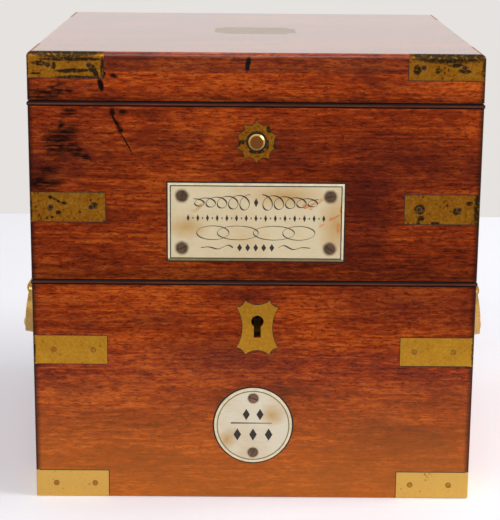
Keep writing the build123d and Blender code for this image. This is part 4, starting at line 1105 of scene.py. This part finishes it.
class CHRONOMETER_OT_gimbal(bpy.types.Operator):
    """Dress the gimbal, bowl, bezel, lock arm and key, and add the bracket screws"""

    bl_idname = "chronometer.gimbal"
    bl_label = "Gimbal, bowl and key"

    def execute(self, context):
        turned = turned_metal("turned_lacquered_brass", "lacquered_brass", 0.26)
        dress(["left_gimbal_bracket", "right_gimbal_bracket", "gimbal_ring", "ring_screws"], turned)
        dress(["bowl", "bezel", "lock_arm_bracket", "lock_arm", "winding_key"], turned)
        screw_brass = turned_metal("turned_brass_bracket_screws", "brass", 0.35, 0.4)
        spots = []
        for out in (-1, 1):
            for y in (-9.0, 9.0):
                for z in (68.5, 83.5):
                    spots.append(((-out, 0, 0), (out * 79.8, y, z)))
        random.seed(5)
        piece("gimbal_bracket_screws", add_screws, screw_brass, "base", "lacquered_brass", spots, 0.4)
        return {"FINISHED"}


class CHRONOMETER_OT_dial(bpy.types.Operator):
    """Dress the dial and hands and add the dial's tracks and numerals"""

    bl_idname = "chronometer.dial"
    bl_label = "Dial and hands"

    # Height of the dial's face, and how far before and behind its middle the small dials lie
    face = 85.2 * MM
    small = 25.0

    def execute(self, context):
        dress(["dial"], turned_metal("matt_silvered_dial", "dial", 0.45, 0.06))
        dress(["hour_hand", "minute_hand"], turned_metal("gilt_hands", "gilt", 0.22))
        dress(["seconds_hand", "wind_hand"], turned_metal("heat_blued_steel_hands", "blued", 0.25))
        black = plain_finish("black_dial_wax", "ink", 0.5)
        for name, build, data in (
            ("tracks", self.tracks, ()),
            ("numerals", self.numerals, ()),
            ("small_numerals", self.small_numerals, (self.digits(),)),
        ):
            piece(f"dial_{name}", build, black, "bowl", "silvered_dial", *data)
        return {"FINISHED"}

    def tick(self, work, y, degrees, inner, outer, width):
        """A line out from a dial's middle, in millimetres."""
        angle = math.radians(degrees)
        out = Vector((math.sin(angle), math.cos(angle))) * MM
        place = Matrix.Translation((0, y * MM, self.face))
        add_line(work, place, [out * inner, out * outer], [width * MM] * 2)

    def tracks(self, work):
        rings = [(0.0, 45.0, 45.25, 120), (0.0, 47.6, 47.85, 120)]
        for minute in range(60):
            self.tick(work, 0.0, 6 * minute, 45.1, 47.7, 0.7 if minute % 5 == 0 else 0.25)
        # Place, radius, first angle, angle between marks, how many marks, and how many to a long one
        for y, radius, first, step, count, group in (
            (-self.small, 12.6, 0.0, 6.0, 60, 10),
            (self.small, 11.0, 210.0, 300.0 / 56, 57, 8),
        ):
            rings += [(y, radius - 0.1, radius + 0.1, 72), (y, radius - 1.6, radius - 1.45, 72)]
            for mark in range(count):
                reach, width = (2.2, 0.3) if mark % group == 0 else (1.5, 0.14)
                self.tick(work, y, first + step * mark, radius - reach, radius, width)
        for y, inner, outer, segments in rings:
            add_ring(work, Matrix.Translation((0, y * MM, self.face)), inner * MM, outer * MM, segments)

    def numerals(self, work):
        def serif(x, y, half=0.15):
            return ((x - half, y), (x + half, y), 0.06)

        # Ends and width of each stroke of a letter that is one unit high
        strokes = {
            "I": [((0, 0), (0, 1), 0.16), serif(0, 0, 0.16), serif(0, 1, 0.16)],
            "V": [((-0.3, 1), (0, 0), 0.17), ((0.3, 1), (0, 0), 0.07), serif(-0.29, 1), serif(0.29, 1)],
            "X": [((-0.3, 1), (0.3, 0), 0.17), ((0.3, 1), (-0.3, 0), 0.07)],
        }
        strokes["X"] += [serif(-0.29, 1), serif(0.29, 0), serif(-0.29, 0), serif(0.29, 1)]
        advance = {"I": 0.36, "V": 0.78, "X": 0.78}
        narrow, thin = 0.62, 0.8
        height = sizes().numeral_height
        hours = ("XII", "I", "II", "III", "IIII", "V", "VI", "VII", "VIII", "IX", "X", "XI")
        for hour, text in enumerate(hours):
            # The dials for seconds and winding cover part of the numerals nearest to them
            turned = Matrix.Rotation(-math.radians(30 * hour), 4, "Z")
            place = turned @ Matrix.Translation((0, 36.6 * MM, self.face))
            start = -sum(advance[letter] for letter in text) / 2
            for letter in text:
                centre = start + advance[letter] / 2
                start += advance[letter]
                for *ends, width in strokes[letter]:
                    points = [((centre + x) * narrow * height, y * height) for x, y in ends]
                    add_line(work, place, points, [width * height * thin] * 2)

    def digits(self):
        """Meshes of the numbers round the small dials, set upright."""
        meshes = []
        for y, radius, labels, first, step in (
            (-self.small, 8.4, ("60", "10", "20", "30", "40", "50"), 0.0, 60.0),
            (self.small, 7.4, ("0", "8", "16", "24", "32", "40", "48", "56"), 210.0, 300.0 / 7),
        ):
            for index, label in enumerate(labels):
                text = bpy.data.curves.new(f"dial_digit_{label}", "FONT")
                text.body = label
                text.size = sizes().digit_height
                text.align_x = "CENTER"
                text.align_y = "CENTER"
                text.extrude = sizes().line_height / 2
                text.resolution_u = 3
                shape = bpy.data.objects.new(f"dial_digit_{label}", text)
                bpy.context.scene.collection.objects.link(shape)
                bpy.context.view_layer.update()
                mesh = bpy.data.meshes.new_from_object(shape)
                angle = math.radians(first + step * index)
                x, y_off = radius * MM * math.sin(angle), radius * MM * math.cos(angle)
                mesh.transform(Matrix.Translation((x, y * MM + y_off, self.face + text.extrude)))
                bpy.data.objects.remove(shape)
                meshes.append(mesh)
        return meshes

    def small_numerals(self, work, meshes):
        for mesh in meshes:
            work.from_mesh(mesh)


class CHRONOMETER_OT_stage(bpy.types.Operator):
    """Set the camera, the pale table top, the background and the lamps"""

    bl_idname = "chronometer.stage"
    bl_label = "Stage"

    def execute(self, context):
        scene = context.scene
        scene.view_settings.view_transform = "Standard"
        self.camera(scene)
        self.table_top()
        self.dark_cloth()
        self.background(scene)
        box_middle = Vector((0, 0, 0.09))
        for name, middle, size, power in (
            ("window_right", (1.25, -0.20, 0.95), 0.75, 15.0),
            ("ceiling_front", (-0.35, -1.5, 1.3), 1.2, 11.0),
        ):
            light = bpy.data.lights.new(name, "AREA")
            light.shape = "SQUARE"
            light.size = size
            light.energy = power
            lamp = bpy.data.objects.new(name, light)
            lamp.location = middle
            lamp.rotation_euler = (Vector(middle) - box_middle).to_track_quat("Z", "Y").to_euler()
            scene.collection.objects.link(lamp)
        return {"FINISHED"}

    def camera(self, scene):
        """The photographer's camera, a little over the lid and looking down at the front."""
        lens = bpy.data.cameras.new("camera")
        lens.lens = 110.0
        lens.sensor_width = 36.0
        lens.clip_start = 0.01
        camera = bpy.data.objects.new("camera", lens)
        yaw, down, roll = math.radians(0.29), math.radians(13.73), math.radians(0.50)
        forward = Vector((math.sin(yaw) * math.cos(down), math.cos(yaw) * math.cos(down), -math.sin(down)))
        level = Vector((math.cos(yaw), -math.sin(yaw), 0.0))
        right = level * math.cos(roll) + level.cross(forward) * math.sin(roll)
        basis = Matrix((right, right.cross(forward), -forward)).transposed().to_4x4()
        camera.matrix_world = Matrix.Translation((-5.1 * MM, -727.2 * MM, 259.2 * MM)) @ basis
        scene.collection.objects.link(camera)
        scene.camera = camera

    def table_top(self):
        material, tree, place = new_material("white_laid_table_top")
        paper = add(tree, "TexNoise", {"Vector": place}, {"Scale": 9.0, "Detail": 3.0})
        shades = [(0.3, paint("floor", 0.98)), (0.7, paint("floor"))]
        colour = add(tree, "ValToRGB", {"Fac": paper}, stops=shades)
        # Only the camera sees the paper paler than it is lit, so that it shows as white as a studio sweep
        ray = add(tree, "LightPath").outputs["Is Camera Ray"]
        lift = add(tree, "Math", {0: ray}, {1: 0.17}, operation="MULTIPLY")
        values = {"Roughness": 0.7, "Specular IOR Level": 0.1, "Emission Color": (0.72, 0.8, 1.0, 1.0)}
        finished(material, values, {"Base Color": colour, "Emission Strength": lift})
        self.sheet("table_top", material, 8, 2.0, -0.76, 0.481, -0.0003)

    def dark_cloth(self):
        """A dark cloth in front of the table's white part, which only the polish reflects."""
        material = plain_finish("dark_room_cloth", "ebony", 0.9)
        cloth = self.sheet("dark_cloth", material, 4, 1.2, -1.9, -0.3, 0.0018)
        cloth.visible_camera = False
        cloth.visible_transmission = False
        cloth.visible_diffuse = False
        cloth.visible_shadow = False

    def sheet(self, name, material, cells, half_x, near, far, level):
        """A flat sheet of the stage, in metres."""

        def spread(work):
            bmesh.ops.create_grid(work, x_segments=cells, y_segments=cells, size=1.0)
            for vertex in work.verts:
                x, y = vertex.co.x * half_x, near + (vertex.co.y + 1.0) * (far - near) / 2
                vertex.co = Vector((x, y, level))

        made = new_object(name, spread, material)
        return made

    def background(self, scene):
        """A pale wall to the camera, the polish and the glass, and a dimmer white room to light the box."""
        world = bpy.data.worlds.new("pale_room")
        world.use_nodes = True
        tree = world.node_tree
        tree.nodes.clear()
        ray = add(tree, "LightPath")
        seen = ray.outputs["Is Camera Ray"]
        for kind in ("Is Glossy Ray", "Is Transmission Ray"):
            seen = add(tree, "Math", {0: seen, 1: ray.outputs[kind]}, operation="MAXIMUM")
        room = add(tree, "Background", values={"Color": (1.0, 1.0, 1.0, 1.0), "Strength": 0.5})
        wall = add(tree, "Background", values={"Color": paint("background"), "Strength": 1.0})
        mix = add(tree, "MixShader", {0: seen, 1: room, 2: wall})
        add(tree, "OutputWorld", {"Surface": mix})
        scene.world = world


class CHRONOMETER_PT_box(bpy.types.Panel):
    """Lists the pieces of the chronometer box"""

    bl_idname = "CHRONOMETER_PT_box"
    bl_label = "Chronometer Box"
    bl_space_type = "VIEW_3D"
    bl_region_type = "UI"
    bl_category = "Chronometer Box"

    def draw(self, context):
        layout = self.layout
        for operator in operators:
            layout.operator(operator.bl_idname)
        scene = context.scene
        for title, group in (("Colours", scene.chronometer_colours), ("Sizes", scene.chronometer_sizes)):
            layout.label(text=title)
            for name in group.__annotations__:
                layout.prop(group, name)


operators = (
    CHRONOMETER_OT_boards,
    CHRONOMETER_OT_beads,
    CHRONOMETER_OT_straps,
    CHRONOMETER_OT_inlays,
    CHRONOMETER_OT_name_plate,
    CHRONOMETER_OT_number_disc,
    CHRONOMETER_OT_screws,
    CHRONOMETER_OT_handles,
    CHRONOMETER_OT_hinges,
    CHRONOMETER_OT_lock,
    CHRONOMETER_OT_glass,
    CHRONOMETER_OT_gimbal,
    CHRONOMETER_OT_dial,
    CHRONOMETER_OT_stage,
)
classes = (ChronometerColours, ChronometerSizes, *operators, CHRONOMETER_PT_box)


def register():
    for item in classes:
        bpy.utils.register_class(item)
    bpy.types.Scene.chronometer_colours = bpy.props.PointerProperty(type=ChronometerColours)
    bpy.types.Scene.chronometer_sizes = bpy.props.PointerProperty(type=ChronometerSizes)


def unregister():
    del bpy.types.Scene.chronometer_sizes
    del bpy.types.Scene.chronometer_colours
    for item in reversed(classes):
        bpy.utils.unregister_class(item)


def main():
    register()
    bpy.ops.chronometer.boards()
    bpy.ops.chronometer.beads()
    bpy.ops.chronometer.straps()
    bpy.ops.chronometer.inlays()
    bpy.ops.chronometer.name_plate()
    bpy.ops.chronometer.number_disc()
    bpy.ops.chronometer.screws()
    bpy.ops.chronometer.handles()
    bpy.ops.chronometer.hinges()
    bpy.ops.chronometer.lock()
    bpy.ops.chronometer.glass()
    bpy.ops.chronometer.gimbal()
    bpy.ops.chronometer.dial()
    bpy.ops.chronometer.stage()


if __name__ == "__main__":
    main()
